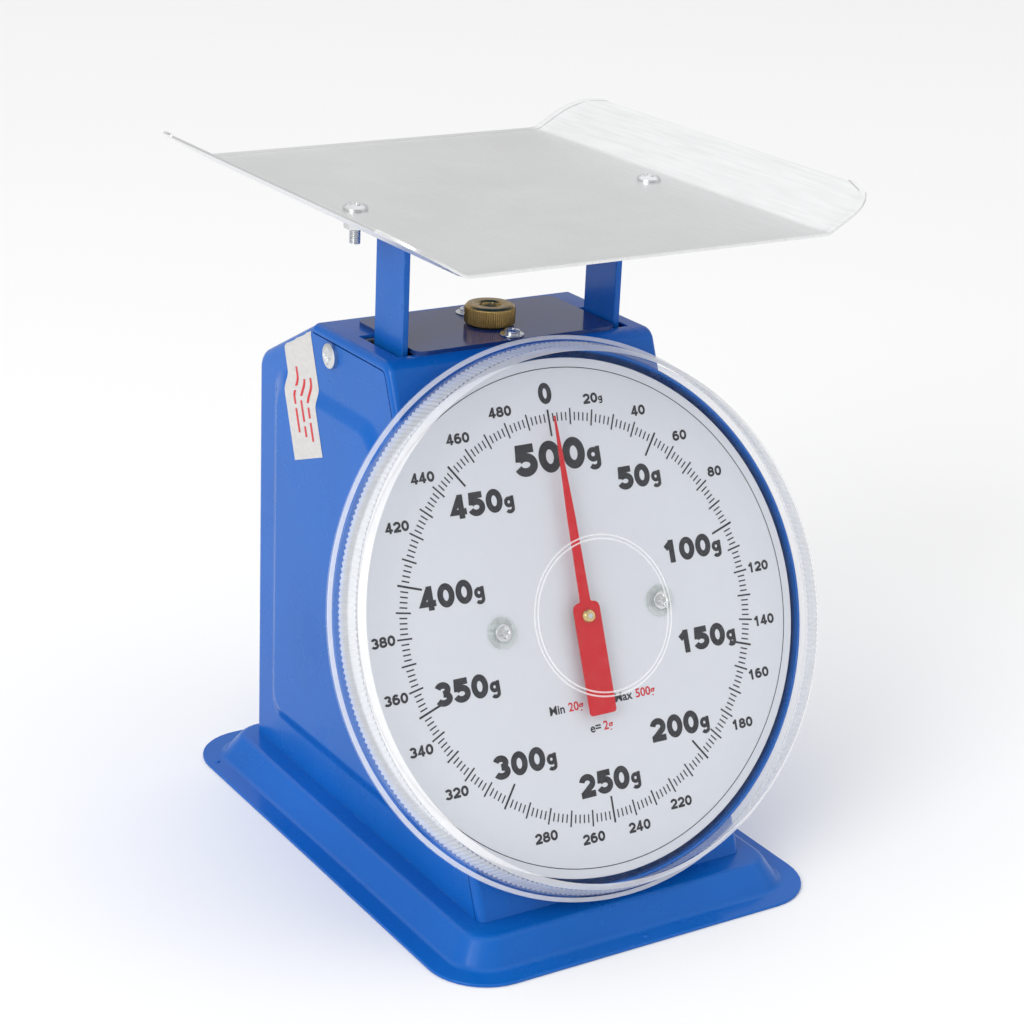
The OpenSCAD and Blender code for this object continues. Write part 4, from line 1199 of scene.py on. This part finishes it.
def build_seal():
    """Paper strip laid over the left side and bent round onto the roof, with plain red bars."""
    width, lift = 23, 0.12
    lower, upper = Vector((42, 141)), Vector((58, 185))
    along = (upper - lower).normalized()
    across = Vector((along.y, -along.x))
    length = (upper - lower).length

    def on_strip(far, side, height):
        return strip_point(lower + along * far + across * side, height)

    rows, columns = 40, 16
    skin = Skin()
    skin.loft([
        [on_strip(length * i / rows, width * (j / columns - 0.5), lift) for j in range(columns + 1)]
        for i in range(rows + 1)
    ], closed=False)
    mesh_piece("seal_strip_paper", skin, PAPER, "root", ["seal_strip"])
    bars = Skin()
    bar_width, bar_gap, ink_lift, steps = 1.5, 1.6, 0.2, 8
    for row, (offset, words_long) in enumerate(((-6, (7, 4, 9)), (-1, (4, 8, 6)), (4, (9, 5, 7)))):
        start = 6 + 2 * row
        for long in words_long:
            bars.loft([
                [on_strip(start + long * k / steps, offset + edge, ink_lift) for k in range(steps + 1)]
                for edge in (-bar_width / 2, bar_width / 2)
            ], closed=False)
            start += long + bar_gap
    mesh_piece("seal_strip_print", bars, RED_INK, "root")


def strip_point(spot, lift):
    """A point of the strip: on the side, or folded over the roof's rounded edge."""
    y, z = spot
    corner = LIP + SEAM
    quarter = corner * TAU / 4
    edge = roof_z(y, corner)
    if z <= edge:
        return (-side_surface(y, z) - lift, y, z)
    angle = min(z - edge, quarter) / corner
    beyond = max(0, z - edge - quarter)
    x = CASE_X - corner + (corner + lift) * math.cos(angle) - beyond
    return (-x, y, edge + (corner + lift) * math.sin(angle))


# ---- CAD nodes that stay ----

def finish_cad(node, material, width):
    """Gives a CAD node its material and rounds its edges with modifiers."""
    thing = frame["nodes"][node]
    thing.data.materials.clear()
    thing.data.materials.append(material)
    weld = thing.modifiers.new("weld", "WELD")
    weld.merge_threshold = WELD_GAP / 2 * MM
    add_bevel(thing, width)
    add_weighted_normals(thing)


def finish_cad_nodes():
    looks = (
        (BLUE, 0.5, "leg_left leg_right support_plate"),
        (NAVY, 0.45, "top_plate"),
        (DIAL_WHITE, 0.15, "dial_plate"),
        (STRUCTURE, 0.25, "chassis crossbar spring_hanger movement_front_plate movement_rear_plate "
                          "rack_arm upper_link lower_link"),
        (BRASS, 0.1, "rack pinion movement_pillars front_bush rear_bush pointer_hub dial_posts"),
        (ZINC, 0.12, "base_screws base_nuts crossbar_rivets leg_screws upper_shaft lower_shaft "
                     "shaft_clips upper_pins lower_pins rack_screws movement_screws arbor "
                     "hanger_stud hanger_nut"),
    )
    for material, width, nodes in looks:
        for node in nodes.split():
            finish_cad(node, material, width)


# ---- Stage, lights and camera ----

def build_stage():
    """Plain pale floor that runs to the horizon."""
    skin = Skin()
    reach, level = 6000, -0.05
    corners = ((-reach, -reach), (reach, -reach), (reach, reach), (-reach, reach))
    skin.cap(skin.add(x, y, level) for x, y in corners)
    mesh = raw_mesh("floor", skin)
    look = Nodes("floor_pale")
    look.set("Base Color", look.mix(look.noise(0.8, 2), (0.92, 0.92, 0.92, 1), (0.95, 0.95, 0.95, 1)))
    look.set("Roughness", 0.9)
    mesh.materials.append(look.material)
    link("floor", mesh)


def area_light(name, spot, target, size, power):
    """A soft box in metres and watts, turned to face the target."""
    data = bpy.data.lights.new(name, "AREA")
    data.shape = "RECTANGLE"
    data.size, data.size_y = size
    data.energy = power
    lamp = link(name, data)
    lamp.location = spot
    lamp.rotation_mode = "QUATERNION"
    lamp.rotation_quaternion = (Vector(target) - Vector(spot)).to_track_quat("-Z", "Y")


def build_lights():
    """Soft box from the left, weak fill from the right, wide overhead light and a white surround."""
    target = (0, 0, 0.12)
    area_light("key", (-1.6, -0.7, 1.0), target, (1.0, 1.0), 17)
    area_light("fill", (1.4, -1.2, 0.9), target, (1.0, 1.4), 2)
    data = bpy.data.lights.new("overhead", "SUN")
    data.energy = 0.95
    data.angle = math.radians(100)
    overhead = link("overhead", data)
    overhead.rotation_euler = (math.radians(-12), 0, 0)
    world = bpy.data.worlds.new("studio")
    bpy.context.scene.world = world
    world.use_nodes = True
    sky = world.node_tree.nodes["Background"]
    sky.inputs["Color"].default_value = (1, 1, 1, 1)
    sky.inputs["Strength"].default_value = 0.64


def build_camera():
    """Three-quarter view from the front left, a little above the pan."""
    azimuth, elevation, roll = (math.radians(a) for a in (-32.9, 20.4, 2.6))
    turn = Matrix.Rotation(azimuth, 3, "Z") @ Matrix.Rotation(TAU / 4 - elevation, 3, "X")
    turn @= Matrix.Rotation(roll, 3, "Z")
    data = bpy.data.cameras.new("camera")
    data.lens = 85.35
    data.sensor_width = 36
    camera = link("camera", data)
    camera.rotation_mode = "QUATERNION"
    camera.rotation_quaternion = turn.to_quaternion()
    camera.location = Vector((-452, -705, 436.5)) * MM
    bpy.context.scene.camera = camera


bpy.context.scene.view_settings.view_transform = "Standard"
build_camera()
build_lights()
build_stage()
finish_cad_nodes()
build_base()
build_front_case()
build_rear_cover()
build_pan()
build_dish()
build_graduations()
build_numbers()
build_dial_ring()
build_pointer()
build_lens()
build_pan_fasteners()
build_top_fasteners()
build_cover_screws()
build_dial_fasteners()
build_knob()
build_springs()
build_seal()
